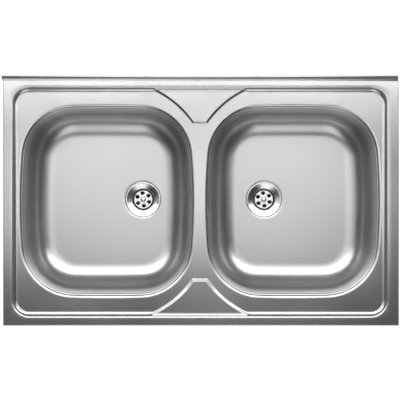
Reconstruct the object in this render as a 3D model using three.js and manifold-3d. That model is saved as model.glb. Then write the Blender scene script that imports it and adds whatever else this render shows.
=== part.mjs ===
// A double bowl kitchen sink in stainless steel, the lay-on kind that covers an 800 mm base cabinet.
// Millimetres, +Z up, +X to the right, +Y to the wall. The origin is the middle of the sheet, on the
// cabinet's top edge: the rim stands above it, and the bowls, wastes and trap hang below it.
import * as THREE from 'three';
import { mergeVertices } from 'three/addons/utils/BufferGeometryUtils.js';
import Module from 'manifold-3d';

const wasm = await Module();
wasm.setup();

// ---- Sheet: rim, turned-down edges, return lips and rear upstand ----
const SHEET_WIDTH = 800; // left edge to right edge
const SHEET_DEPTH = 500; // front edge to the foot of the rear upstand
const SHEET_T = 0.8;
const EDGE_HEIGHT = 30; // rim above the cabinet's top edge, as thick as the worktops beside it
const EDGE_BEND = 2.5; // outside radius where the rim turns down
const SHEET_CORNER = 3; // plan radius of the sheet's corners
const LIP_WIDTH = 15; // return lip that rests on the cabinet's top edge
const UPSTAND_HEIGHT = 13; // above the rim
const UPSTAND_FOOT = 8; // radius where the rim turns up
const UPSTAND_FOLD = 3.4; // the doubled sheet, outside to outside
const UPSTAND_LEAN = 12; // degrees that the upstand's front leaf leans back
const UPSTAND_EAR = 3; // the upstand's left end stands past the left edge
const UPSTAND_NOTCH = 6; // relief in the side edges under the upstand's ends

// ---- Pressing: the sunk deck, its S-shaped step and the two raised pads ----
const PRESS_SHIFT = -2.2; // the pressing sits left of the trimmed sheet's middle
const RIM_SIDE = 19; // sheet's edge to the step, at the sides
const RIM_END = 16; // the same at the front and back
const STEP_WIDTH = 13; // of the S-shaped step, in plan
const STEP_DROP = 6; // rim to deck
const STEP_CORNER = 36; // plan radius of the step's outer line
const PAD_RISE = 2.5; // pad above the deck
const PAD_BORDER = 5; // width of the pad's own small step
const PAD_TONGUE = 31.5; // how far a pad reaches in between the bowls
const PAD_TIP = 30.8; // width of a pad's square tip
const PAD_ARC = 193; // radius of a pad's hollow sides
const PAD_ARC_LEAN = 34.2; // degrees, where that arc meets the tip

// ---- Bowls ----
const BRIDGE = 32; // deck left between the two openings
const SIDE_MARGIN = 7; // step to opening at the sides
const FRONT_MARGIN = 33; // step to opening at the front
const BACK_MARGIN = 29; // step to opening at the back
const BOWL_CORNER = 103; // plan radius of an opening's corners
const BOWL_SIDE_ARC = 1190; // radius of its gently bulging sides
const BOWL_END_ARC = 2800; // and of its front and back
const LIP_ROLL = 5; // radius of the deck's rolled edge round an opening
const LIP_SKIRT = 1.5; // straight part below the roll
const BOWL_DEPTH = 160; // rim to bowl floor
const BOWL_LEDGE = 3; // ledge inside the rolled edge
const BOWL_FLANGE = 4; // flange outside the opening, welded under the deck
const BOWL_BEND = 2; // ledge into wall
const BOWL_DRAFT = 5; // degrees
const BOWL_FILLET = 45; // wall into floor
const SOUND_PAD_T = 2;
const SOUND_PAD_WIDTH = 104;
const SOUND_PAD_LENGTH = 170;
const SOUND_PAD_CORNER = 12;
const SOUND_PAD_GAP = 12; // waste flange to pad

// ---- Drains ----
const LEFT_DRAIN_SHIFT = 69.5; // from its bowl's middle, towards the bridge
const RIGHT_DRAIN_SHIFT = 54.3;
const DRAIN_BACK = 3; // from the bowls' middle, towards the wall
const RECESS_RADIUS = 36.5; // pressed seat of the waste in the bowl floor
const RECESS_DEPTH = 8;
const RECESS_SLOPE = 3.5; // run of its sloping side
const RECESS_EDGE = 1.5; // round edge between the bowl floor and that side
const RECESS_LAND = 5; // bowl floor that is made in one with the recess
const DRAIN_HOLE = 27; // radius
const STRAINER_T = 0.8;
const STRAINER_SPACE = 0.9; // recess's side to the strainer's edge
const STRAINER_SINK = 0.9; // strainer's edge below the bowl floor
const STRAINER_EDGE = 2.4; // width of its flat edge
const DISH_RISE = 1.4; // dish above the recess's floor, where it turns into the cup
const DISH_BEND = 2.4; // width of that turn
const CUP_SPACE = 3.7; // drain hole's edge to the strainer's cup
const CUP_TAPER = 3.9; // how much the cup narrows down to its disc
const STRAINER_DEPTH = 13; // bowl floor to disc
const STRAINER_HOLES = 6;
const STRAINER_HOLE = 4.2; // radius
const HOLE_EDGE = 2.2; // disc's edge to a hole
const HOLE_ANGLE = 36; // degrees, the first hole
const SCREW_HEAD = 5.5; // radius of the strainer screw's head
const SCREW_HEAD_T = 2.4;
const SCREW_EDGE_T = 0.8; // straight edge of that head
const SCREW_TOP = 3.8; // radius of its flat top
const CROSS_LENGTH = 5.2; // slots of its cross recess
const CROSS_WIDTH = 1.1;
const CROSS_DEPTH = 1.3;
const SCREW_SHANK = 2.8; // radius
const SEAL_T = 2.5; // flat rubber seals
const SEAL_WIDTH = 8;
const SEAL_INSET = 0.6; // upper seal inside the recess's sloping side

// ---- Waste bodies and screwed joints ----
const PIPE_RADIUS = 20; // 40 mm waste pipe
const PIPE_WALL = 2.4;
const THREAD_RISE = 3.8; // thread outside the pipe, for 1 1/2 inch
const THREAD_WALL = 5.3; // wall of a threaded end
const THREAD_SPARE = 7; // thread that a nut leaves free
const BODY_FLANGE_T = 3;
const BODY_BRIM = 1.5; // flange past the lower seal
const BODY_STEP = 1; // body's bore inside the drain hole
const BODY_WALL = 2.6;
const BODY_CUP_DEPTH = 24;
const BOSS_RADIUS = 6;
const BOSS_LENGTH = 18;
const BOSS_SPACE = 2; // strainer to boss
const BOSS_FLOOR = 2; // left under the screw's hole
const RIB_T = 2.4;
const RIB_SET = 3; // a rib's ends inside the boss's ends
const RIB_COUNT = 3;
const WASHER_T = 2;
const COLLAR_T = 3;
const COLLAR_SPACE = 1.2; // collar's edge inside the thread
const NUT_LIP = 3;
const NUT_WALL = 3.4;
const NUT_GRIP = 15; // threaded part of a nut
const NUT_LUGS = 10;
const LUG_HEIGHT = 1.6;
const NUT_SPACE = 2; // between a nut and what is beside it

// ---- Arms, tee, bottle trap and outlet ----
const ARM_DROP = 12; // joint to the start of the bend
const ARM_BEND = 32; // centre-line radius
const DIP_SPACE = 3; // dip tube inside the trap's threaded bore
const DIP_DIVE = 14; // dip tube below the trap's lower rim
const TRAP_RADIUS = 33;
const TRAP_WALL = 3;
const TRAP_CHAMFER = 3;
const OUTLET_END = 16; // outlet pipe's end to the wall
const CUP_DEPTH = 42; // below the trap's lower rim
const CUP_WALL = 3;
const CUP_SKIRT = 13; // threaded overlap on the trap
const CUP_LUGS = 14;
const CUP_CHAMFER = 9;

// ---- Cabinet brackets ----
const BRACKET_T = 1.5;
const BRACKET_WIDTH = 40;
const BRACKET_HEIGHT = 32; // plate below the lip
const BRACKET_HOOK = 9; // reach over the lip
const BRACKET_INSET = 100; // its middle from the sheet's front or rear
const SLOT_LENGTH = 14; // of the slanting slot, between its ends' middles
const SLOT_SLANT = 30; // degrees
const WOOD_SCREW = 2; // radius
const WOOD_SCREW_HEAD = 4.2;
const WOOD_SCREW_TOP = 2.5; // radius of the head's flat top
const WOOD_SCREW_HEAD_T = 2.2;
const WOOD_SCREW_LENGTH = 13;
const WOOD_SCREW_POINT = 4;

// ---- Clearances and facets ----
const GAP = 0.3; // between pieces that touch
const THREAD_GAP = 0.6; // thread to nut, and pipe to nut
const ROUND = 20; // facets of a round piece
const SMALL_ROUND = 10; // facets of a hole or a small screw
const CORNER_STEPS = 6; // facets of a corner in plan
const CUT = 2; // how far a cutter runs past what it cuts
const MELD = 0.5; // how far joined pieces run into each other

// ---- Materials ----
const finish = (color, roughness, metalness) => ({ color, roughness, metalness });
const STAINLESS = finish(0xc6c6c4, 0.32, 1);
const POLISHED = finish(0xd2d2d0, 0.18, 1);
const ZINC = finish(0xaeb2b4, 0.42, 1);
const RUBBER = finish(0x1e1e1e, 0.8, 0);
const BITUMEN = finish(0x34353a, 0.9, 0);
const PLASTIC = finish(0xe6e6e1, 0.45, 0);

// ---- Levels and fitted sizes, worked out from the sizes above ----
const radians = THREE.MathUtils.degToRad;
const degrees = THREE.MathUtils.radToDeg;
const DECK_TOP = EDGE_HEIGHT - STEP_DROP;
const SKIRT_END = DECK_TOP - LIP_ROLL - LIP_SKIRT;
const FLOOR_TOP = EDGE_HEIGHT - BOWL_DEPTH;
const BACK = SHEET_DEPTH / 2 + UPSTAND_FOLD + UPSTAND_HEIGHT * Math.tan(radians(UPSTAND_LEAN));
const PAN_X = SHEET_WIDTH / 2 - RIM_SIDE;
const PAN_Y = SHEET_DEPTH / 2 - RIM_END;
const BOWL_A = (PAN_X - STEP_WIDTH - SIDE_MARGIN - BRIDGE / 2) / 2; // half an opening's width
const BOWL_B = (2 * (PAN_Y - STEP_WIDTH) - FRONT_MARGIN - BACK_MARGIN) / 2; // half its depth
const BOWL_Y = (FRONT_MARGIN - BACK_MARGIN) / 2;
const BOWL_X = BRIDGE / 2 + BOWL_A; // each bowl's middle from the pressing's
const DRAIN_Y = BOWL_Y + DRAIN_BACK;
const STRAINER_RADIUS = RECESS_RADIUS - STRAINER_SPACE;
const STRAINER_CUP = DRAIN_HOLE - CUP_SPACE;
const STRAINER_DISC = STRAINER_CUP - CUP_TAPER;
const BODY_BORE = DRAIN_HOLE - BODY_STEP;
const THREAD_RADIUS = PIPE_RADIUS + THREAD_RISE;
const THREAD_BORE = THREAD_RADIUS - THREAD_WALL;
const THREAD_LENGTH = NUT_GRIP + THREAD_SPARE;
const PIPE_BORE = PIPE_RADIUS - PIPE_WALL;
const COLLAR_RADIUS = THREAD_RADIUS - COLLAR_SPACE;
const NUT_BORE = THREAD_RADIUS + THREAD_GAP;
const NUT_RADIUS = NUT_BORE + NUT_WALL + LUG_HEIGHT;
// Heights in a screwed joint, from the threaded end face at 0 down the joined pipe.
const COLLAR_TOP = -2 * GAP - WASHER_T;
const LIP_TOP = COLLAR_TOP - COLLAR_T - GAP;
const NUT_END = LIP_TOP - NUT_LIP;
const TEE_HALF = PIPE_RADIUS + NUT_GRIP + NUT_SPACE; // tee's middle to each end face
const TEE_DROP = NUT_RADIUS - NUT_END + NUT_SPACE; // its middle to the trap's top end face
const OUTLET_DROP = THREAD_LENGTH + THREAD_RADIUS; // that face to the outlet's axis
const OUTLET_REACH = TRAP_RADIUS + NUT_GRIP + NUT_SPACE; // trap's axis to the outlet's end face
const TRAP_LENGTH = OUTLET_DROP + NUT_RADIUS + NUT_SPACE + CUP_SKIRT; // top end face to lower rim
const DIP_RADIUS = THREAD_BORE - DIP_SPACE;

const sink = new THREE.Group();

// ---- Solids ----

/** A closed manifold solid of a geometry: vertices merged, collapsed triangles dropped, faces out. */
function solid(geometry) {
  const bare = geometry.clone();
  for (const name of Object.keys(bare.attributes)) {
    if (name !== 'position') bare.deleteAttribute(name);
  }
  const merged = mergeVertices(bare, 1e-3);
  const corners = merged.index.array;
  const at = (i) => new THREE.Vector3().fromBufferAttribute(merged.attributes.position, i);
  const triangles = [];
  let volume = 0;
  for (let i = 0; i < corners.length; i += 3) {
    const [a, b, c] = [corners[i], corners[i + 1], corners[i + 2]];
    if (a === b || b === c || c === a) continue;
    triangles.push([a, b, c]);
    volume += at(a).dot(at(b).cross(at(c)));
  }
  const outward = volume < 0 ? triangles.map(([a, b, c]) => [a, c, b]) : triangles;
  const vertProperties = Float32Array.from(merged.attributes.position.array);
  const triVerts = Uint32Array.from(outward.flat());
  return new wasm.Manifold(new wasm.Mesh({ numProp: 3, vertProperties, triVerts }));
}

/** The geometry of a solid. */
function geometryOf(shape) {
  const { vertProperties, triVerts } = shape.getMesh();
  const geometry = new THREE.BufferGeometry();
  geometry.setAttribute('position', new THREE.BufferAttribute(Float32Array.from(vertProperties), 3));
  geometry.setIndex(new THREE.BufferAttribute(Uint32Array.from(triVerts), 1));
  return geometry;
}

/** A solid turned, then moved. */
function placed(shape, rotation, position) {
  const turn = new THREE.Matrix4().makeRotationFromEuler(new THREE.Euler(...rotation));
  return solid(geometryOf(shape).applyMatrix4(turn.setPosition(...position)));
}

/** Adds a solid to the sink as a named mesh with a material of its own. */
function addPiece(name, shape, look, position = [0, 0, 0], rotation = [0, 0, 0]) {
  const geometry = geometryOf(shape);
  geometry.computeVertexNormals();
  const mesh = new THREE.Mesh(geometry, new THREE.MeshStandardMaterial(look));
  mesh.name = name;
  mesh.position.set(...position);
  mesh.rotation.set(...rotation);
  sink.add(mesh);
}

/** A solid turned about Z from a closed profile of [radius, height] points. */
function turned(profile, segments = ROUND) {
  const loop = [...profile, profile[0]].map(([r, z]) => new THREE.Vector2(r, z));
  return solid(new THREE.LatheGeometry(loop, segments).rotateX(Math.PI / 2));
}

/** A round solid or, with a bore, a round sleeve, from one height to another. */
function round(radius, low, high, bore = 0, segments = ROUND) {
  return turned([[bore, low], [radius, low], [radius, high], [bore, high]], segments);
}

/** An upright prism of an outline of [x, y] points, from one height to another. */
function prism(outline, low, high) {
  const shape = new THREE.Shape(outline.map(([x, y]) => new THREE.Vector2(x, y)));
  const options = { depth: high - low, bevelEnabled: false };
  return solid(new THREE.ExtrudeGeometry(shape, options).translate(0, 0, low));
}

/** The same of an outline of [y, z] points, from one place along X to another. */
function prismAlongX(outline, from, to) {
  const shape = new THREE.Shape(outline.map(([y, z]) => new THREE.Vector2(y, z)));
  const bar = new THREE.ExtrudeGeometry(shape, { depth: to - from, bevelEnabled: false });
  const turn = new THREE.Matrix4().makeBasis(
    new THREE.Vector3(0, 1, 0), new THREE.Vector3(0, 0, 1), new THREE.Vector3(1, 0, 0),
  );
  return solid(bar.applyMatrix4(turn.setPosition(from, 0, 0)));
}

/** An upright box between two corners. */
function box([x0, y0, z0], [x1, y1, z1]) {
  return prism([[x0, y0], [x1, y0], [x1, y1], [x0, y1]], z0, z1);
}

/** A closed solid through a stack of outlines with equally many points, flat at both ends. */
function loft(rings) {
  const count = rings[0].outline.length;
  const vertices = rings.flatMap(({ outline, z }) => outline.flatMap(([x, y]) => [x, y, z]));
  const faces = [];
  for (let level = 0; level < rings.length - 1; level += 1) {
    for (let i = 0; i < count; i += 1) {
      const [a, b] = [level * count + i, level * count + ((i + 1) % count)];
      faces.push([a, b, b + count], [a, b + count, a + count]);
    }
  }
  const flat = ({ outline }) => outline.map((point) => new THREE.Vector2(...point));
  const cap = (ring) => THREE.ShapeUtils.triangulateShape(flat(ring), []);
  const last = (rings.length - 1) * count;
  for (const [a, b, c] of cap(rings[0])) faces.push([a, c, b]);
  for (const [a, b, c] of cap(rings.at(-1))) faces.push([last + a, last + b, last + c]);
  const geometry = new THREE.BufferGeometry();
  geometry.setAttribute('position', new THREE.Float32BufferAttribute(vertices, 3));
  geometry.setIndex(faces.flat());
  return solid(geometry);
}

// ---- Profiles and outlines ----

/** Points of an arc about [cx, cy], both ends included; angles in degrees. */
function arc(cx, cy, radius, from, to, steps) {
  return Array.from({ length: steps + 1 }, (_, i) => {
    const angle = radians(from + ((to - from) * i) / steps);
    return [cx + radius * Math.cos(angle), cy + radius * Math.sin(angle)];
  });
}

/** The path moved sideways by a distance, to the right of its direction. */
function offsetPath(path, distance) {
  return path.map(([x, y], i) => {
    const before = path[Math.max(i - 1, 0)];
    const after = path[Math.min(i + 1, path.length - 1)];
    const back = new THREE.Vector2(x - before[0], y - before[1]).normalize();
    const ahead = new THREE.Vector2(after[0] - x, after[1] - y).normalize();
    const along = back.clone().add(ahead).normalize();
    const spread = distance / Math.max(along.dot(i > 0 ? back : ahead), 0.5);
    return [x + along.y * spread, y - along.x * spread];
  });
}

/** A closed band: a path, and back along the same path moved sideways by the sheet's thickness. */
const band = (path, thickness) => [...path, ...offsetPath(path, thickness).reverse()];

/** An S of two equal arcs that goes in by a width and down by a drop: [inset, height] points. */
function sStep(width, drop, steps = 2) {
  const turn = 2 * Math.atan(drop / width);
  const radius = width / (2 * Math.sin(turn));
  const half = Array.from({ length: steps + 1 }, (_, i) => {
    const angle = (turn * i) / steps;
    return [radius * Math.sin(angle), radius * (Math.cos(angle) - 1)];
  });
  const rest = half.slice(0, -1).reverse().map(([inset, z]) => [width - inset, -drop - z]);
  return [...half, ...rest];
}

/** A rectangle with round corners, counter-clockwise. */
function roundedRectangle(x0, x1, y0, y1, radius, steps) {
  return [
    ...arc(x1 - radius, y1 - radius, radius, 0, 90, steps),
    ...arc(x0 + radius, y1 - radius, radius, 90, 180, steps),
    ...arc(x0 + radius, y0 + radius, radius, 180, 270, steps),
    ...arc(x1 - radius, y0 + radius, radius, 270, 360, steps),
  ];
}

/** The sheet's outline, front edge to the rear fold, inset all round. */
function sheetOutline(inset) {
  const radius = Math.max(SHEET_CORNER - inset, GAP);
  const [x, front, back] = [SHEET_WIDTH / 2 - inset, inset - SHEET_DEPTH / 2, BACK - inset];
  return roundedRectangle(-x, x, front, back, radius, 2);
}

/** The step's outline, inset all round. */
function panOutline(inset) {
  const [x, y] = [PAN_X - inset, PAN_Y - inset];
  return roundedRectangle(PRESS_SHIFT - x, PRESS_SHIFT + x, -y, y, STEP_CORNER - inset, CORNER_STEPS);
}

/** A pad's outline, inset all round: a tongue between the bowls that widens into the step behind it.
 * Side is 1 for the rear pad and -1 for the front one. */
function padOutline(inset, side) {
  const tipY = BOWL_B - PAD_TONGUE;
  const [centreX, centreY] = [
    PAD_TIP / 2 + PAD_ARC * Math.cos(radians(PAD_ARC_LEAN)),
    tipY - PAD_ARC * Math.sin(radians(PAD_ARC_LEAN)),
  ];
  const radius = PAD_ARC + inset;
  const foot = Math.asin(Math.min((tipY + inset - centreY) / radius, 1));
  const head = Math.asin(Math.min((PAN_Y + CUT - centreY) / radius, 1));
  const left = arc(-centreX, centreY, radius, degrees(head), degrees(foot), 8);
  const right = left.map(([x, y]) => [-x, y]).reverse();
  const topY = PAN_Y + Math.abs(BOWL_Y) + CUT; // under the rim, past the step
  const top = [[right.at(-1)[0], topY], [left[0][0], topY]];
  const outline = [...left, ...right, ...top].map(([x, y]) => [PRESS_SHIFT + x, BOWL_Y + side * y]);
  return side > 0 ? outline : outline.reverse();
}

/** An opening's outline, grown all round: side arcs, end arcs and corner arcs that run into each other. */
function bowlOutline(grow, middleX) {
  const [sideX, endY] = [BOWL_A - BOWL_SIDE_ARC, BOWL_B - BOWL_END_ARC]; // middles of the long arcs
  const [sideR, endR] = [BOWL_SIDE_ARC - BOWL_CORNER, BOWL_END_ARC - BOWL_CORNER];
  // The corner's middle is a corner radius inside both long arcs.
  const span = Math.hypot(sideX, endY);
  const along = (sideR * sideR - endR * endR + span * span) / (2 * span);
  const across = Math.sqrt(sideR * sideR - along * along);
  const [ux, uy] = [-sideX / span, endY / span];
  const corner = [sideX + ux * along - uy * across, uy * along + ux * across];
  const sideEnd = degrees(Math.atan2(corner[1], corner[0] - sideX));
  const endStart = degrees(Math.atan2(corner[1] - endY, corner[0]));
  const quarter = [
    ...arc(sideX, 0, BOWL_SIDE_ARC + grow, 0, sideEnd, 2),
    ...arc(...corner, BOWL_CORNER + grow, sideEnd, endStart, CORNER_STEPS).slice(1),
    ...arc(0, endY, BOWL_END_ARC + grow, endStart, 90, 2).slice(1),
  ];
  const half = [...quarter, ...quarter.slice(0, -1).reverse().map(([x, y]) => [-x, y])];
  const whole = [...half, ...half.slice(1, -1).reverse().map(([x, y]) => [x, -y])];
  return whole.map(([x, y]) => [middleX + x, BOWL_Y + y]);
}

// ---- Deck ----

/** The rim with its turned-down edges, as a stack of insets: straight up, then round the bend. */
function edgeRings(inset, low, top, bend) {
  const turn = arc(inset + bend, top - bend, bend, 180, 90, 2);
  return [[inset, low], ...turn].map(([at, z]) => ({ outline: sheetOutline(at), z }));
}

/** The rear upstand: the rim turns up, folds over itself and comes down to its own return lip.
 * Start is where it leaves the rim. */
function upstand() {
  const fold = UPSTAND_FOLD / 2;
  const foldTop = EDGE_HEIGHT + UPSTAND_HEIGHT - fold;
  const turn = arc(0, UPSTAND_FOOT, UPSTAND_FOOT, -90, -UPSTAND_LEAN, 4);
  const [footRun, footRise] = turn.at(-1);
  const leafRun = (foldTop - EDGE_HEIGHT - footRise) * Math.tan(radians(UPSTAND_LEAN));
  const start = BACK - UPSTAND_FOLD - leafRun - footRun;
  const path = [
    [start - MELD, EDGE_HEIGHT],
    ...turn.map(([y, z]) => [start + y, EDGE_HEIGHT + z]),
    ...arc(BACK - fold, foldTop, fold, 180, 0, 4),
    [BACK, 0],
    [BACK - LIP_WIDTH, 0],
  ];
  const left = -SHEET_WIDTH / 2 - UPSTAND_EAR;
  const earFoot = box([left - CUT, 0, -CUT], [-SHEET_WIDTH / 2, BACK + CUT, EDGE_HEIGHT - UPSTAND_NOTCH]);
  const shape = prismAlongX(band(path, SHEET_T), left, SHEET_WIDTH / 2 - EDGE_BEND).subtract(earFoot);
  return { shape, start };
}

/** The rim, the sunk deck with its pads, the rolled edges, the turned-down edges and the upstand. */
function addDeck() {
  const t = SHEET_T;
  const tray = loft(edgeRings(0, 0, EDGE_HEIGHT, EDGE_BEND));
  const cavity = loft(edgeRings(t, t, EDGE_HEIGHT - t, EDGE_BEND - t));
  const mouth = prism(sheetOutline(LIP_WIDTH), -CUT, t + CUT);
  const rear = upstand();
  const relief = box(
    [-SHEET_WIDTH, rear.start, EDGE_HEIGHT - UPSTAND_NOTCH],
    [SHEET_WIDTH, BACK + CUT, EDGE_HEIGHT + CUT],
  );
  let sheet = tray.subtract(cavity).subtract(mouth).subtract(relief).add(rear.shape);

  // The space above the sunk deck, and the sheet under it.
  const step = sStep(STEP_WIDTH, STEP_DROP);
  const panRings = (shift, drop, start) => [
    { outline: panOutline(shift), z: start },
    ...step.map(([inset, z]) => ({ outline: panOutline(inset + shift), z: EDGE_HEIGHT + z - drop })),
  ];
  let space = loft(panRings(0, 0, EDGE_HEIGHT + CUT));
  let skin = loft(panRings(-t / 2, t, EDGE_HEIGHT - t / 2));
  const rise = sStep(PAD_BORDER, PAD_RISE)
    .map(([inset, z]) => [PAD_BORDER - inset, DECK_TOP + PAD_RISE + z]).reverse();
  const padRings = (shift, drop, side) => [
    { outline: padOutline(shift, side), z: DECK_TOP - CUT - drop },
    ...rise.map(([inset, z]) => ({ outline: padOutline(inset + shift, side), z: z - drop })),
  ];
  for (const side of [1, -1]) {
    space = space.subtract(loft(padRings(0, 0, side)));
    skin = skin.subtract(loft(padRings(t / 2, t, side)));
  }
  sheet = sheet.add(skin).subtract(space);

  // The rolled edge round each opening.
  for (const side of [-1, 1]) {
    const x = PRESS_SHIFT + side * BOWL_X;
    const ring = ([grow, z]) => ({ outline: bowlOutline(grow, x), z });
    const roll = (radius) => arc(LIP_ROLL, DECK_TOP - LIP_ROLL, radius, 90, 180, 3);
    const skirt = [[LIP_ROLL, DECK_TOP - t / 2], ...roll(LIP_ROLL - t), [t, SKIRT_END]];
    const hole = [[LIP_ROLL, DECK_TOP + CUT], ...roll(LIP_ROLL), [0, SKIRT_END - CUT]];
    sheet = sheet.add(loft(skirt.map(ring))).subtract(loft(hole.map(ring)));
  }
  addPiece('sink_deck', sheet, STAINLESS);
}

// ---- Bowls ----

/** The bowl's inner face from its flange's edge to the floor, as [grow, height] points. */
function bowlPath() {
  const top = SKIRT_END - GAP;
  const draft = radians(BOWL_DRAFT);
  const bend = arc(-BOWL_LEDGE, top - BOWL_BEND, BOWL_BEND, 90, 180 - BOWL_DRAFT, 2);
  const [wallX, wallZ] = bend.at(-1);
  const filletZ = FLOOR_TOP + BOWL_FILLET * (1 - Math.sin(draft));
  const filletX = wallX - (wallZ - filletZ) * Math.tan(draft);
  const middleX = filletX - BOWL_FILLET * Math.cos(draft);
  const fillet = arc(middleX, FLOOR_TOP + BOWL_FILLET, BOWL_FILLET, -BOWL_DRAFT, -90, 4);
  return [[BOWL_FLANGE, top], ...bend, ...fillet];
}

/** The pressed seat of the waste: rolls off the bowl floor, slopes down and ends flat round the hole. */
function recessPath() {
  return [
    [RECESS_RADIUS + RECESS_LAND, FLOOR_TOP],
    [RECESS_RADIUS + RECESS_EDGE, FLOOR_TOP],
    [RECESS_RADIUS, FLOOR_TOP - RECESS_EDGE],
    [RECESS_RADIUS - RECESS_SLOPE, FLOOR_TOP - RECESS_DEPTH],
    [DRAIN_HOLE, FLOOR_TOP - RECESS_DEPTH],
  ];
}

/** One bowl, with the seat of its waste, and the sound-deadening pad under its floor. */
function addBowl(side, bowlX, drainX) {
  const inner = bowlPath();
  const outer = offsetPath(inner, -SHEET_T);
  outer[0][0] = inner[0][0];
  const ring = ([grow, z]) => ({ outline: bowlOutline(grow, bowlX), z });
  const drain = [drainX, DRAIN_Y, 0];
  const clear = round(RECESS_RADIUS + RECESS_LAND - MELD, FLOOR_TOP - CUT, FLOOR_TOP + CUT);
  const seat = turned(band(recessPath(), -SHEET_T));
  const bowl = loft([...inner.slice().reverse(), ...outer].map(ring))
    .subtract(placed(clear, [0, 0, 0], drain))
    .add(placed(seat, [0, 0, 0], drain));
  addPiece(`${side}_bowl`, bowl, STAINLESS);

  // The pad is stuck under the floor, on the side away from the bridge.
  const away = Math.sign(bowlX - drainX);
  const near = drainX + away * (RECESS_RADIUS + SOUND_PAD_GAP);
  const far = near + away * SOUND_PAD_WIDTH;
  const top = FLOOR_TOP - SHEET_T - GAP;
  const pad = roundedRectangle(
    Math.min(near, far), Math.max(near, far),
    DRAIN_Y - SOUND_PAD_LENGTH / 2, DRAIN_Y + SOUND_PAD_LENGTH / 2, SOUND_PAD_CORNER, 3,
  );
  addPiece(`${side}_sound_pad`, prism(pad, top - SOUND_PAD_T, top), BITUMEN);
}

// ---- Wastes: strainer, screw, seals and body, in heights from the bowl floor ----

/** The strainer's upper face: flat edge, dish, cup and disc. */
function strainerPath() {
  const dishEnd = DISH_RISE - RECESS_DEPTH;
  return [
    [STRAINER_RADIUS, -STRAINER_SINK],
    [STRAINER_RADIUS - STRAINER_EDGE, -STRAINER_SINK],
    [STRAINER_CUP + DISH_BEND, dishEnd],
    [STRAINER_CUP, dishEnd - DISH_BEND / 2],
    [STRAINER_DISC, -STRAINER_DEPTH],
    [0, -STRAINER_DEPTH],
  ];
}

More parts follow.
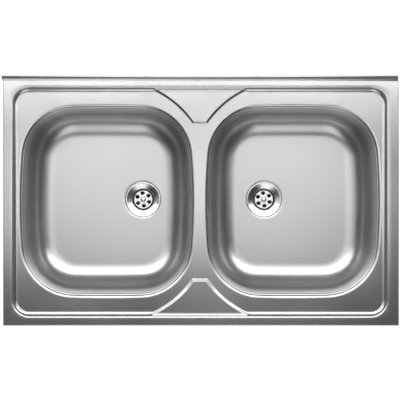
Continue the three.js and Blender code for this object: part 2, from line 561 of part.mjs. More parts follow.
/** The strainer, its screw, the two seals and the waste body; gives back the outlet's end height. */
function addWaste(side, x) {
  const at = [x, DRAIN_Y, FLOOR_TOP];
  const upper = strainerPath();
  const under = offsetPath(upper, -STRAINER_T);
  under[under.length - 1] = [0, under.at(-1)[1]];
  let strainer = turned([...upper, ...under.slice().reverse()]);
  const [drillLow, drillHigh] = [-STRAINER_DEPTH - CUT, CUT - STRAINER_DEPTH];
  const drill = round(STRAINER_HOLE, drillLow, drillHigh, 0, SMALL_ROUND);
  const holeRing = STRAINER_DISC - HOLE_EDGE - STRAINER_HOLE;
  for (let i = 0; i < STRAINER_HOLES; i += 1) {
    const angle = radians(HOLE_ANGLE + (360 / STRAINER_HOLES) * i);
    const place = [holeRing * Math.cos(angle), holeRing * Math.sin(angle), 0];
    strainer = strainer.subtract(placed(drill, [0, 0, 0], place));
  }
  strainer = strainer.subtract(round(SCREW_SHANK + GAP, drillLow, drillHigh, 0, SMALL_ROUND));
  addPiece(`${side}_strainer`, strainer, POLISHED, at);

  // Screw: a domed head with a cross recess on the disc, its shank in the body's boss.
  const headLow = GAP - STRAINER_DEPTH;
  const headTop = headLow + SCREW_HEAD_T;
  const bossTop = -STRAINER_DEPTH - STRAINER_T - BOSS_SPACE;
  const holeEnd = bossTop - BOSS_LENGTH + BOSS_FLOOR;
  const headEdge = [[SCREW_HEAD, headLow], [SCREW_HEAD, headLow + SCREW_EDGE_T]];
  let screw = turned([[0, headLow], ...headEdge, [SCREW_TOP, headTop], [0, headTop]], SMALL_ROUND)
    .add(round(SCREW_SHANK, holeEnd + GAP, headLow + MELD, 0, SMALL_ROUND));
  const [crossX, crossY] = [CROSS_LENGTH / 2, CROSS_WIDTH / 2];
  for (const [halfX, halfY] of [[crossX, crossY], [crossY, crossX]]) {
    screw = screw.subtract(box([-halfX, -halfY, headTop - CROSS_DEPTH], [halfX, halfY, headTop + CUT]));
  }
  addPiece(`${side}_strainer_screw`, screw, POLISHED, at);

  // Upper seal: a rubber wedge between the strainer's dish and the recess's floor.
  const [sealIn, sealOut] = [DRAIN_HOLE + GAP, RECESS_RADIUS - RECESS_SLOPE - SEAL_INSET];
  const sealLow = GAP - RECESS_DEPTH;
  const [[dishOut, dishHigh], [dishIn, dishLow]] = under.slice(1, 3);
  const sealTop = (r) => dishLow + ((dishHigh - dishLow) * (r - dishIn)) / (dishOut - dishIn) - GAP;
  const wedgeTop = [sealOut, sealIn].map((r) => [r, sealTop(r)]);
  addPiece(`${side}_upper_seal`, turned([[sealIn, sealLow], [sealOut, sealLow], ...wedgeTop]), RUBBER, at);

  // Lower seal: a flat ring between the recess and the body's flange.
  const lowerTop = -RECESS_DEPTH - SHEET_T - GAP;
  const lower = round(DRAIN_HOLE + SEAL_WIDTH, lowerTop - SEAL_T, lowerTop, DRAIN_HOLE);
  addPiece(`${side}_lower_seal`, lower, RUBBER, at);

  // Body: flange, cup, funnel and threaded outlet, with the screw's boss on ribs.
  const top = lowerTop - SEAL_T - GAP;
  const [bore, out, flange] = [BODY_BORE, BODY_BORE + BODY_WALL, DRAIN_HOLE + SEAL_WIDTH + BODY_BRIM];
  const cupEnd = top - BODY_CUP_DEPTH;
  const funnelEnd = cupEnd - Math.abs(bore - THREAD_BORE);
  const end = funnelEnd - THREAD_LENGTH;
  const wallRise = BODY_WALL / 2; // the funnel's inner face above its outer face
  const shell = turned([
    [bore, top], [flange, top], [flange, top - BODY_FLANGE_T], [out, top - BODY_FLANGE_T], [out, cupEnd],
    [THREAD_RADIUS, funnelEnd], [THREAD_RADIUS, end], [THREAD_BORE, end], [THREAD_BORE, funnelEnd + wallRise],
    [bore, cupEnd + wallRise],
  ]);
  let body = shell.add(round(BOSS_RADIUS, bossTop - BOSS_LENGTH, bossTop, 0, SMALL_ROUND));
  const [ribLow, ribHigh] = [bossTop - BOSS_LENGTH + RIB_SET, bossTop - RIB_SET];
  const rib = box([BOSS_RADIUS / 2, -RIB_T / 2, ribLow], [bore + BODY_WALL / 2, RIB_T / 2, ribHigh]);
  for (let i = 0; i < RIB_COUNT; i += 1) {
    body = body.add(placed(rib, [0, 0, radians(90 + (360 / RIB_COUNT) * i)], [0, 0, 0]));
  }
  body = body.subtract(round(SCREW_SHANK + GAP, holeEnd, bossTop + CUT, 0, SMALL_ROUND));
  addPiece(`${side}_waste_body`, body, PLASTIC, at);
  return FLOOR_TOP + end;
}

// ---- Screwed pipe joints: the threaded end face is at height 0, and the joined pipe's collar below it ----

/** The outline of a nut or cup with grip lugs round it, each as wide as the space beside it. */
function lugOutline(radius, lugs) {
  const lug = [[0.08, radius + LUG_HEIGHT], [0.42, radius + LUG_HEIGHT], [0.5, radius], [1, radius]];
  return Array.from({ length: lugs }, (_, i) => lug.map(([part, reach]) => {
    const angle = (2 * Math.PI * (i + part)) / lugs;
    return [reach * Math.cos(angle), reach * Math.sin(angle)];
  })).flat();
}

/** Adds the washer and the nut of one joint. */
function addJoint(name, position, rotation) {
  const ring = round(COLLAR_RADIUS, COLLAR_TOP + GAP, -GAP, PIPE_BORE);
  addPiece(`${name}_washer`, ring, RUBBER, position, rotation);
  const nut = prism(lugOutline(NUT_BORE + NUT_WALL, NUT_LUGS), NUT_END, NUT_GRIP)
    .subtract(round(NUT_BORE, LIP_TOP, NUT_GRIP + CUT))
    .subtract(round(PIPE_RADIUS + THREAD_GAP, NUT_END - CUT, LIP_TOP + CUT));
  addPiece(`${name}_nut`, nut, PLASTIC, position, rotation);
}

/** A run of straight stretches between points, with its rings at those points. */
class Route extends THREE.Curve {
  constructor(points) {
    super();
    this.points = points;
  }

  getPoint(t) {
    const place = THREE.MathUtils.clamp(t, 0, 1) * (this.points.length - 1);
    const from = Math.min(Math.floor(place), this.points.length - 2);
    return this.points[from].clone().lerp(this.points[from + 1], place - from);
  }

  getPointAt(u) {
    return this.getPoint(u);
  }

  getTangentAt(u) {
    return this.getTangent(u);
  }
}

/** A plain pipe through points. */
function pipe(points) {
  const circle = (radius) => arc(0, 0, radius, 0, 360, ROUND / 2).slice(1)
    .map((point) => new THREE.Vector2(...point));
  const shape = new THREE.Shape(circle(PIPE_RADIUS));
  shape.holes.push(new THREE.Path(circle(PIPE_BORE)));
  const options = { steps: points.length - 1, extrudePath: new Route(points), bevelEnabled: false };
  return solid(new THREE.ExtrudeGeometry(shape, options));
}

/** A pipe's collar, its top face at height 0. */
const collar = () => round(COLLAR_RADIUS, -COLLAR_T, 0, (PIPE_RADIUS + PIPE_BORE) / 2);

/** From a waste's outlet down, round the bend and level to the tee. */
function addArm(side, x, outletZ, armZ, endX) {
  const towards = Math.sign(endX - x);
  const top = outletZ + COLLAR_TOP;
  const curl = arc(0, armZ + ARM_BEND, ARM_BEND, 180, 270, CORNER_STEPS)
    .map(([run, z]) => [x + towards * (ARM_BEND + run), z]);
  const route = [[x, top], ...curl, [endX, armZ]].map(([px, pz]) => new THREE.Vector3(px, DRAIN_Y, pz));
  const arm = pipe(route)
    .add(placed(collar(), [0, 0, 0], [x, DRAIN_Y, top]))
    .add(placed(collar(), [0, towards * Math.PI / 2, 0], [endX, DRAIN_Y, armZ]));
  addPiece(`${side}_waste_arm`, arm, PLASTIC);
}

// ---- Tee, bottle trap and outlet ----

/** The tee with its dip tube, the trap with its cup, and the outlet pipe to the wall. */
function addTrap(middleX, armZ) {
  const middle = [middleX, DRAIN_Y, armZ];
  const alongX = [0, Math.PI / 2, 0];
  const outwards = [-Math.PI / 2, 0, 0]; // +Z turned to the wall
  const top = -TEE_DROP; // the trap's top end face
  const rim = top - TRAP_LENGTH;
  const dipEnd = rim - DIP_DIVE;
  const collarLow = top - COLLAR_TOP; // this joint opens downwards, so its collar stands above the face
  const collarHigh = collarLow + COLLAR_T;
  const tee = placed(round(THREAD_RADIUS, -TEE_HALF, TEE_HALF), alongX, [0, 0, 0])
    .add(round(PIPE_RADIUS, collarLow, 0))
    .add(round(COLLAR_RADIUS, collarLow, collarHigh))
    .add(round(DIP_RADIUS, dipEnd, collarLow + MELD))
    .subtract(placed(round(THREAD_BORE, -TEE_HALF - CUT, TEE_HALF + CUT), alongX, [0, 0, 0]))
    .subtract(round(PIPE_BORE, collarHigh, 0))
    .subtract(round(DIP_RADIUS - PIPE_WALL, dipEnd - CUT, 0));
  addPiece('trap_tee', tee, PLASTIC, middle);

  const inner = TRAP_RADIUS - TRAP_WALL;
  const shoulder = top - THREAD_LENGTH;
  const roof = shoulder - TRAP_WALL;
  const outletZ = top - OUTLET_DROP;
  const shell = turned([
    [THREAD_BORE, top], [THREAD_RADIUS, top], [THREAD_RADIUS, shoulder],
    [TRAP_RADIUS - TRAP_CHAMFER, shoulder], [TRAP_RADIUS, shoulder - TRAP_CHAMFER], [TRAP_RADIUS, rim],
    [inner, rim], [inner, roof - TRAP_CHAMFER], [inner - TRAP_CHAMFER, roof], [THREAD_BORE, roof],
  ]);
  const stub = placed(round(THREAD_RADIUS, DIP_RADIUS, OUTLET_REACH), outwards, [0, 0, outletZ])
    .subtract(round(inner, rim, shoulder));
  const stubBore = placed(round(THREAD_BORE, DIP_RADIUS, OUTLET_REACH + CUT), outwards, [0, 0, outletZ]);
  addPiece('trap_body', shell.add(stub).subtract(stubBore), PLASTIC, middle);

  // The seal rests on a shelf inside the cup, and the cup's skirt screws over the trap's rim.
  const shelf = rim - 2 * GAP - WASHER_T;
  addPiece('cup_seal', round(TRAP_RADIUS, shelf + GAP, rim - GAP, inner), RUBBER, middle);
  const cupBore = TRAP_RADIUS + THREAD_GAP;
  const floor = rim - CUP_DEPTH;
  const hollow = floor + CUP_WALL;
  const cup = prism(lugOutline(cupBore + CUP_WALL, CUP_LUGS), shelf - CUP_WALL, rim + CUP_SKIRT)
    .add(turned([
      [0, floor], [inner + CUP_WALL - CUP_CHAMFER, floor], [inner + CUP_WALL, floor + CUP_CHAMFER],
      [inner + CUP_WALL, shelf - MELD], [0, shelf - MELD],
    ]))
    .subtract(round(cupBore, shelf, rim + CUP_SKIRT + CUT))
    .subtract(turned([
      [0, hollow], [inner - CUP_CHAMFER, hollow], [inner, hollow + CUP_CHAMFER],
      [inner, shelf + CUT], [0, shelf + CUT],
    ]));
  addPiece('trap_cup', cup, PLASTIC, middle);

  addJoint('trap_inlet', [middleX, DRAIN_Y, armZ + top], [Math.PI, 0, 0]);
  const outletAt = [middleX, DRAIN_Y + OUTLET_REACH, armZ + outletZ];
  const jointTurn = [Math.PI / 2, 0, 0]; // the joint's down is the outlet's way out
  addJoint('outlet', outletAt, jointTurn);
  const pipeEnd = -(BACK - OUTLET_END - outletAt[1]);
  const run = round(PIPE_RADIUS, pipeEnd, COLLAR_TOP, PIPE_BORE)
    .add(placed(collar(), [0, 0, 0], [0, 0, COLLAR_TOP]));
  addPiece('outlet_pipe', run, PLASTIC, outletAt, jointTurn);
}

// ---- Brackets that hook over the return lip and screw to the cabinet's sides ----

/** One bracket and its wood screw. Made for the left side, and turned half round for the right one. */
function addBracket(name, side, y) {
  const face = LIP_WIDTH + GAP - SHEET_WIDTH / 2; // the plate's face towards the cabinet's side
  const [hookLow, half] = [SHEET_T + GAP, BRACKET_WIDTH / 2];
  const plate = box([face, -half, -BRACKET_HEIGHT], [face + BRACKET_T, half, hookLow + BRACKET_T]);
  const hook = box([face - BRACKET_HOOK, -half, hookLow], [face + BRACKET_T, half, hookLow + BRACKET_T]);
  const slotZ = -BRACKET_HEIGHT / 2;
  const slotR = WOOD_SCREW + THREAD_GAP;
  const [runY, riseZ] = [Math.cos(radians(SLOT_SLANT)), Math.sin(radians(SLOT_SLANT))]
    .map((part) => (part * SLOT_LENGTH) / 2);
  const slot = [
    ...arc(-runY, slotZ - riseZ, slotR, 90 + SLOT_SLANT, 270 + SLOT_SLANT, 5),
    ...arc(runY, slotZ + riseZ, slotR, SLOT_SLANT - 90, SLOT_SLANT + 90, 5),
  ];
  const cutter = prismAlongX(slot, face - CUT, face + BRACKET_T + CUT);
  const turn = [0, 0, side > 0 ? Math.PI : 0];
  addPiece(`bracket_${name}`, plate.add(hook).subtract(cutter), ZINC, [0, y, 0], turn);

  // Wood screw through the slot's middle, its point towards the cabinet's side.
  const head = [
    [0, 0], [WOOD_SCREW_HEAD, 0], [WOOD_SCREW_HEAD, WOOD_SCREW_HEAD_T / 2],
    [WOOD_SCREW_TOP, WOOD_SCREW_HEAD_T], [0, WOOD_SCREW_HEAD_T],
  ];
  const shank = [
    [0, -WOOD_SCREW_LENGTH], [WOOD_SCREW, WOOD_SCREW_POINT - WOOD_SCREW_LENGTH], [WOOD_SCREW, MELD], [0, MELD],
  ];
  const screw = turned(head, SMALL_ROUND).add(turned(shank, SMALL_ROUND));
  const headX = face + BRACKET_T + GAP;
  addPiece(`bracket_screw_${name}`, screw, ZINC, [-side * headX, y, slotZ], [0, (-side * Math.PI) / 2, 0]);
}

// ---- The whole sink ----
addDeck();
const leftDrain = PRESS_SHIFT - BOWL_X + LEFT_DRAIN_SHIFT;
const rightDrain = PRESS_SHIFT + BOWL_X - RIGHT_DRAIN_SHIFT;
const middleX = (leftDrain + rightDrain) / 2;
for (const [side, sign, drainX] of [['left', -1, leftDrain], ['right', 1, rightDrain]]) {
  addBowl(side, PRESS_SHIFT + sign * BOWL_X, drainX);
  const outletZ = addWaste(side, drainX);
  const armZ = outletZ + COLLAR_TOP - ARM_DROP - ARM_BEND;
  const face = middleX + sign * TEE_HALF;
  addJoint(`${side}_waste`, [drainX, DRAIN_Y, outletZ], [0, 0, 0]);
  addJoint(`${side}_arm`, [face, DRAIN_Y, armZ], [0, -sign * Math.PI / 2, 0]);
  addArm(side, drainX, outletZ, armZ, face - sign * COLLAR_TOP);
  if (side === 'right') addTrap(middleX, armZ);
}
const bracketY = SHEET_DEPTH / 2 - BRACKET_INSET;
for (const [side, sign] of [['left', -1], ['right', 1]]) {
  addBracket(`front_${side}`, sign, -bracketY);
  addBracket(`rear_${side}`, sign, bracketY);
}

export default sink;
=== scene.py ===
import bmesh
import bpy
import numpy as np
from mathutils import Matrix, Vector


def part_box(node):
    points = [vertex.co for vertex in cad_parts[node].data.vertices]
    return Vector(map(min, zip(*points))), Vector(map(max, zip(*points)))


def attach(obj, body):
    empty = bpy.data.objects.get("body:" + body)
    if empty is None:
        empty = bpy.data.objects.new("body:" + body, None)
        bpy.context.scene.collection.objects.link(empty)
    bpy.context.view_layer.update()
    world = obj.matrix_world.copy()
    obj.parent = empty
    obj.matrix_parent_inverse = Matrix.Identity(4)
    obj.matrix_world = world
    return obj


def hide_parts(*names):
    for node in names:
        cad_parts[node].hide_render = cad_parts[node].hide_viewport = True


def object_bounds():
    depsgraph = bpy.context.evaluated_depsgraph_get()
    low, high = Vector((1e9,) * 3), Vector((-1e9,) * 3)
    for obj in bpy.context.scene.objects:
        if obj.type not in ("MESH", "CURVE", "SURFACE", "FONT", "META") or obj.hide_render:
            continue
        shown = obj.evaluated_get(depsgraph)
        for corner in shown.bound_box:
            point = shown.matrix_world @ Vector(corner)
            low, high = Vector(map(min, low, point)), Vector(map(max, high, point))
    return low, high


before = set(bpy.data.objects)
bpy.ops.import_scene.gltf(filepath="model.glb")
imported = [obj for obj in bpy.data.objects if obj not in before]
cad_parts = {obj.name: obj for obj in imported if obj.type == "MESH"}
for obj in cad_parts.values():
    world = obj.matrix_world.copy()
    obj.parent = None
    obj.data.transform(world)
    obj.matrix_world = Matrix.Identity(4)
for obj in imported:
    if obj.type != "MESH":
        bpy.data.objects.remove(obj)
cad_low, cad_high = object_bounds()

MM = 0.001


def put(name, data):
    """A new object in the scene."""
    thing = bpy.data.objects.new(name, data)
    bpy.context.scene.collection.objects.link(thing)
    return thing


# ---------------------------------------------------------------- camera: straight down, as photographed
PIXEL = 2.02 * MM  # one pixel of the 400 x 400 picture, on the rim
PICTURE = 400
PICTURE_MIDDLE = (-1 * PIXEL, 2 * PIXEL)  # where the picture's middle falls on the sink
RIM_TOP = 30 * MM
CAMERA_DISTANCE = 4.35
SENSOR = 36

camera_data = bpy.data.cameras.new("camera")
camera = put("camera", camera_data)
camera.location = (*PICTURE_MIDDLE, RIM_TOP + CAMERA_DISTANCE)
camera_data.sensor_width = SENSOR
camera_data.lens = SENSOR * CAMERA_DISTANCE / (PICTURE * PIXEL)
camera_data.clip_start = 0.05
camera_data.clip_end = 60
bpy.context.scene.camera = camera

# ---------------------------------------------------------------- sizes of the pressed sheet
SHEET_RIGHT = 400 * MM  # and as far to the left
SHEET_FRONT, SHEET_BACK = -250 * MM, cad_high.y - 0.03 * MM
SHEET_T = 0.8 * MM
EDGE_BEND = 1.6 * MM
LIP_WIDTH = 15 * MM
LIP_BEND = 1.4 * MM
UPSTAND_HEIGHT = 13 * MM
UPSTAND_FOOT, UPSTAND_FOOT_LEFT = 8 * MM, 0.4  # its foot is narrower to the left
UPSTAND_FOLD = 1.7 * MM  # outside radius of its folded top
UPSTAND_LEAN = np.radians(12)
UPSTAND_NOTCH = 6 * MM
UPSTAND_BOW = 2.2 * MM  # the folded top stands this much forward in the middle
TABS = np.array([-114, -107, 114, 121]) * MM  # two pairs of small tabs pressed into the fold
TAB_WIDTH, TAB_PUSH, TAB_SINK = 1.6 * MM, 0.9 * MM, 1.1 * MM
HAIR = 0.05 * MM  # a gap between sheet edges that butt

PRESS_SHIFT = -2.2 * MM  # the pressing sits left of the sheet's middle
PAN_HALF = np.array([381, 234]) * MM  # outer line of the step
STEP_WIDTH, STEP_DROP, STEP_CORNER = 13 * MM, 6 * MM, 36 * MM
STEP_TOP_ARC = 0.3  # the upper arc's share of the step
PAD_RISE, PAD_BORDER, PAD_TIP, PAD_TIP_Y = 2.5 * MM, 5 * MM, 30.8 * MM, 156.8 * MM
PAD_ARC, PAD_LEAN, PAD_Y = 193 * MM, np.radians(34.2), 1.5 * MM
DECK_TOP = RIM_TOP - STEP_DROP

BOWL_HALF = np.array([172.5, 190]) * MM
BOWL_Y = 2 * MM
BOWL_SHIFT = 188.5 * MM  # each bowl's middle from the pressing's
BOWL_CORNER, BOWL_SIDE_ARC, BOWL_END_ARC = 103 * MM, 1190 * MM, 2800 * MM
LIP_REACH, LIP_ROLL, LIP_SKIRT = 7 * MM, 5 * MM, 1.5 * MM
BOWL_TOP = DECK_TOP - LIP_ROLL - LIP_SKIRT - 0.3 * MM  # a gap of 0.3 mm under the sheet
BOWL_LEDGE, BOWL_FLANGE, BOWL_BEND, BOWL_FILLET = 1 * MM, 4 * MM, 4.4 * MM, 49 * MM
BOWL_DRAFT = np.radians(3.5)
FLOOR = RIM_TOP - 160 * MM
FLOOR_SLOPE = 0.014  # the floor rises from the drain
RECESS_RADIUS, RECESS_DEPTH, RECESS_SLOPE, DRAIN_HOLE = 36.5 * MM, 8 * MM, 3.5 * MM, 27 * MM
SEAT_RADIUS = RECESS_RADIUS + 1.8 * MM  # the floor's round edge begins here


def low_of(node):
    """The low corner of a CAD node's box."""
    return np.array(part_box(node)[0])


def high_of(node):
    """The high corner of a CAD node's box."""
    return np.array(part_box(node)[1])


def middle_of(node):
    """The middle of a CAD node's box."""
    return (low_of(node) + high_of(node)) / 2


BOWL_MIDDLE = {"left": np.array([PRESS_SHIFT - BOWL_SHIFT, BOWL_Y]),
               "right": np.array([PRESS_SHIFT + BOWL_SHIFT, BOWL_Y])}
DRAIN = {side: middle_of(f"{side}_strainer")[:2] for side in ("left", "right")}
FLOOR_AT = {side: np.array([*drain, FLOOR]) for side, drain in DRAIN.items()}


# ---------------------------------------------------------------- materials
SPREAD = (0.3, 0.7)  # a texture's values lie mostly between these


def shader(name, color, metallic, roughness):
    """A material whose constant colour and finish sit on the shader's own sockets, and that shader."""
    material = bpy.data.materials.new(name)
    material.use_nodes = True
    surface = material.node_tree.nodes["Principled BSDF"]
    surface.inputs["Base Color"].default_value = (*color, 1)
    surface.inputs["Metallic"].default_value = metallic
    surface.inputs["Roughness"].default_value = roughness
    return material, surface


def pattern(surface, kind, scale, stretch=(1, 1, 1), **settings):
    """A texture node in Object coordinates, stretched along the axes by a Mapping node."""
    nodes, links = surface.id_data.nodes, surface.id_data.links
    place = nodes.new("ShaderNodeTexCoord")
    mapping = nodes.new("ShaderNodeMapping")
    mapping.inputs["Scale"].default_value = stretch
    texture = nodes.new(kind)
    texture.inputs["Scale"].default_value = scale
    for key, value in settings.items():
        texture.inputs[key].default_value = value
    links.new(place.outputs["Object"], mapping.inputs["Vector"])
    links.new(mapping.outputs["Vector"], texture.inputs["Vector"])
    return texture


def vary(surface, texture, low, high):
    """Drives the roughness from a texture, spread between two values."""
    nodes, links = surface.id_data.nodes, surface.id_data.links
    spread = nodes.new("ShaderNodeMapRange")
    for socket, value in zip(("From Min", "From Max", "To Min", "To Max"), (*SPREAD, low, high)):
        spread.inputs[socket].default_value = value
    links.new(texture.outputs[0], spread.inputs["Value"])
    links.new(spread.outputs[0], surface.inputs["Roughness"])


def tint(surface, texture, low, high):
    """Drives the colour from a texture, between two colours."""
    nodes, links = surface.id_data.nodes, surface.id_data.links
    ramp = nodes.new("ShaderNodeValToRGB")
    for stop, place, color in zip(ramp.color_ramp.elements, SPREAD, (low, high)):
        stop.position = place
        stop.color = (*color, 1)
    links.new(texture.outputs[0], ramp.inputs["Fac"])
    links.new(ramp.outputs["Color"], surface.inputs["Base Color"])


def roughen(surface, texture, height):
    """Bump of a real height in metres."""
    nodes, links = surface.id_data.nodes, surface.id_data.links
    bump = nodes.new("ShaderNodeBump")
    bump.inputs["Strength"].default_value = 1
    bump.inputs["Distance"].default_value = height
    links.new(texture.outputs[0], bump.inputs["Height"])
    links.new(bump.outputs["Normal"], surface.inputs["Normal"])


def satin_steel(name, gloss):
    """Cold-rolled stainless sheet: fine grain along X, cloudy gloss and a trace of colour."""
    material, surface = shader(name, (0.62, 0.62, 0.615), 1, gloss)
    grain = pattern(surface, "ShaderNodeTexNoise", 900, (0.04, 1, 1), Detail=3)
    cloud = pattern(surface, "ShaderNodeTexNoise", 9, (0.6, 1, 1), Detail=2)
    vary(surface, cloud, 0.92 * gloss, 1.08 * gloss)
    tint(surface, cloud, (0.61, 0.61, 0.606), (0.632, 0.632, 0.628))
    roughen(surface, grain, 0.0015 * MM)
    return material


def polished_steel():
    """Pressed and polished stainless: the strainers and their screws."""
    material, surface = shader("polished_steel", (0.78, 0.78, 0.775), 1, 0.24)
    wear = pattern(surface, "ShaderNodeTexNoise", 160, Detail=4)
    vary(surface, wear, 0.22, 0.26)
    roughen(surface, wear, 0.003 * MM)
    return material


def painted_shade_steel():
    """The strainers' steep inner wall, painted near black as the shade in the groove round the disc."""
    material, surface = shader("painted_shade_steel", (0.1, 0.1, 0.1), 1, 0.3)
    wear = pattern(surface, "ShaderNodeTexNoise", 160, Detail=4)
    vary(surface, wear, 0.26, 0.34)
    return material


def white_plastic():
    """Moulded polypropylene, a little cloudy."""
    material, surface = shader("white_plastic", (0.86, 0.86, 0.84), 0, 0.4)
    skin = pattern(surface, "ShaderNodeTexNoise", 700, Detail=3)
    cloud = pattern(surface, "ShaderNodeTexNoise", 25, Detail=2)
    vary(surface, skin, 0.34, 0.46)
    tint(surface, cloud, (0.84, 0.84, 0.815), (0.875, 0.875, 0.855))
    roughen(surface, skin, 0.02 * MM)
    return material


def painted_shade_plastic():
    """The wastes' inside, painted near black as the shade in the cup that shows through the strainers' holes.
    """
    material, surface = shader("painted_shade_plastic", (0.03, 0.03, 0.03), 0, 0.5)
    shade_mottle = pattern(surface, "ShaderNodeTexNoise", 90, Detail=3)
    tint(surface, shade_mottle, (0.022, 0.022, 0.021), (0.045, 0.045, 0.043))
    return material


def black_rubber():
    """Moulded rubber with a dull skin."""
    material, surface = shader("black_rubber", (0.02, 0.02, 0.021), 0, 0.75)
    skin = pattern(surface, "ShaderNodeTexNoise", 900, Detail=2)
    vary(surface, skin, 0.62, 0.85)
    roughen(surface, skin, 0.03 * MM)
    return material


def zinc_plate():
    """Zinc-plated steel: bluish, with faint spangles."""
    material, surface = shader("zinc_plate", (0.62, 0.64, 0.66), 1, 0.38)
    spangle = pattern(surface, "ShaderNodeTexVoronoi", 260)
    vary(surface, spangle, 0.3, 0.46)
    tint(surface, spangle, (0.58, 0.6, 0.63), (0.68, 0.69, 0.7))
    return material


def bitumen_sheet():
    """Sound-deadening bitumen with a pressed grain."""
    material, surface = shader("bitumen_sheet", (0.035, 0.036, 0.04), 0, 0.85)
    grain = pattern(surface, "ShaderNodeTexVoronoi", 330)
    tint(surface, grain, (0.045, 0.046, 0.05), (0.028, 0.029, 0.033))
    roughen(surface, grain, 0.5 * MM)
    return material


# A finish is a material and its slot.
DECK_STEEL = satin_steel("deck_steel", 0.25), "stainless"
BOWL_STEEL = satin_steel("bowl_steel", 0.32), "stainless"
POLISH = polished_steel(), "strainer_steel"
PLASTIC = white_plastic(), "white_plastic"
RUBBER = black_rubber(), "rubber"
ZINC = zinc_plate(), "zinc"
BITUMEN = bitumen_sheet(), "bitumen"
# Painted shade: near-black steel for the groove round the strainers' discs.
PAINTED_SHADE_STEEL = painted_shade_steel()
# Painted shade: near-black plastic for the inside of the waste cups.
PAINTED_SHADE_INSIDE = painted_shade_plastic()


# ---------------------------------------------------------------- meshes
def grid_quads(rows, columns, wrap, first):
    """Quads between the rows of a grid, numbered row by row from first; wrap joins last column to first."""
    row = np.arange(rows - 1)[:, None] * columns
    column = np.arange(columns if wrap else columns - 1)[None, :]
    ahead = (column + 1) % columns
    corners = [row + column, row + ahead, row + columns + ahead, row + columns + column]
    return np.stack([c + 0 * (row + column) for c in corners], -1).reshape(-1, 4) + first


def make(name, surfaces, finish, node, body="sink", sheet=0.0, sharp=50, weld=1e-6):
    """A piece in place of a CAD node, from surfaces: each an array of rows x columns x 3 points, or a pair of
    that and its wrap.

    Rows run so that column direction x row direction points out. Sheet is a thickness added inwards. Open
    edges are sharp, and so are edges that turn by more than an angle in degrees."""
    material, slot = finish
    points, quads, first = [], [], 0
    for surface in surfaces:
        grid, wrap = surface if isinstance(surface, tuple) else (surface, False)
        rows, columns = grid.shape[:2]
        points.append(grid.reshape(-1, 3))
        quads.append(grid_quads(rows, columns, wrap, first))
        first += rows * columns
    mesh = bpy.data.meshes.new(name)
    mesh.from_pydata(np.concatenate(points).tolist(), [], np.concatenate(quads).tolist())
    welded = bmesh.new()
    welded.from_mesh(mesh)
    bmesh.ops.remove_doubles(welded, verts=welded.verts, dist=weld)
    bmesh.ops.dissolve_degenerate(welded, edges=welded.edges, dist=weld / 4)
    limit = float(np.radians(sharp))
    for edge in welded.edges:
        edge.smooth = not edge.is_boundary and edge.calc_face_angle(0) < limit
    for face in welded.faces:
        face.smooth = True
    welded.to_mesh(mesh)
    welded.free()
    mesh.materials.append(material)
    piece = put(name, mesh)
    if sheet:
        wall = piece.modifiers.new("wall", "SOLIDIFY")
        wall.thickness = sheet
        wall.offset = -1
        wall.use_even_offset = True
    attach(piece, body)
    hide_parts(node)
    return piece


def paint_shade_between(piece, material, middle, near, far):
    """Paints shade on a piece's faces between two distances from an upright axis, by giving them another
    material.
    """
    piece.data.materials.append(material)
    for face in piece.data.polygons:
        if near < np.hypot(*np.subtract(face.center, middle)[:2]) < far:
            face.material_index = 1


def circle(angle):
    """Points of the unit circle at angles in radians."""
    return np.stack([np.cos(angle), np.sin(angle)], -1)


def arc(middle, radius, start, end, steps):
    """Points of an arc about a middle, both ends included; angles in degrees."""
    return np.asarray(middle) + radius * circle(np.radians(np.linspace(start, end, steps + 1)))


def bearings(count):
    """Evenly spaced angles, once round."""
    return 2 * np.pi * np.arange(count) / count


def around(reach, angle, height):
    """Points about +Z at distances, bearings and heights that broadcast to one grid."""
    return np.stack(np.broadcast_arrays(reach * np.cos(angle), reach * np.sin(angle), height), -1)


def about_z(grid, turn):
    """A grid turned about +Z, counter-clockwise."""
    cos, sin = np.cos(turn), np.sin(turn)
    return grid @ np.array([[cos, sin, 0], [-sin, cos, 0], [0, 0, 1]])


def pairs(x, y):
    """Points of x and y, either of which may be one number."""
    return np.column_stack(np.broadcast_arrays(x, y))


def rays(points, middle):
    """Bearing, unit ray and distance of points as seen from a middle."""
    apart = points - np.asarray(middle)
    length = np.hypot(*apart.T)
    return np.arctan2(apart[:, 1], apart[:, 0]), apart / length[:, None], length


def lift(outline, height):
    """An outline of x, y points at a height, or at a height for each point."""
    return np.column_stack([outline, np.broadcast_to(height, len(outline))])


# ---------------------------------------------------------------- outlines
def bowl_quarter():
    """Middles and turning angles of the three arcs in a quarter of a bowl's opening."""
    side, end = BOWL_HALF[0] - BOWL_SIDE_ARC, BOWL_HALF[1] - BOWL_END_ARC
    side_reach, end_reach = BOWL_SIDE_ARC - BOWL_CORNER, BOWL_END_ARC - BOWL_CORNER
    span = np.hypot(side, end)
    along = (side_reach**2 - end_reach**2 + span**2) / (2 * span)
    across = np.sqrt(side_reach**2 - along**2)
    toward = np.array([-side, end]) / span
    corner = np.array([side, 0]) + toward * along + across * np.array([-toward[1], toward[0]])
    side_end = np.degrees(np.arctan2(corner[1], corner[0] - side))
    end_start = np.degrees(np.arctan2(corner[1] - end, corner[0]))
    return side, end, corner, side_end, end_start


def bowl_outline(grow, steps=(16, 28, 16)):
    """A bowl's opening about its own middle, grown all round, counter-clockwise from +X: a side arc, a corner
    arc and an end arc in each quarter, each running into the next."""
    side, end, corner, side_end, end_start = bowl_quarter()
    quarter = np.concatenate([
        arc((side, 0), BOWL_SIDE_ARC + grow, 0, side_end, steps[0]),
        arc(corner, BOWL_CORNER + grow, side_end, end_start, steps[1])[1:],
        arc((0, end), BOWL_END_ARC + grow, end_start, 90, steps[2])[1:],
    ])
    half = np.concatenate([quarter, quarter[-2::-1] * (-1, 1)])
    return np.concatenate([half, half[-2:0:-1] * (1, -1)])


def reach_of(outline, angle):
    """Distance from the origin to an outline in each direction, read off its closely set points."""
    bearing, _, length = rays(outline, (0, 0))
    return np.interp(angle, bearing, length, period=2 * np.pi)


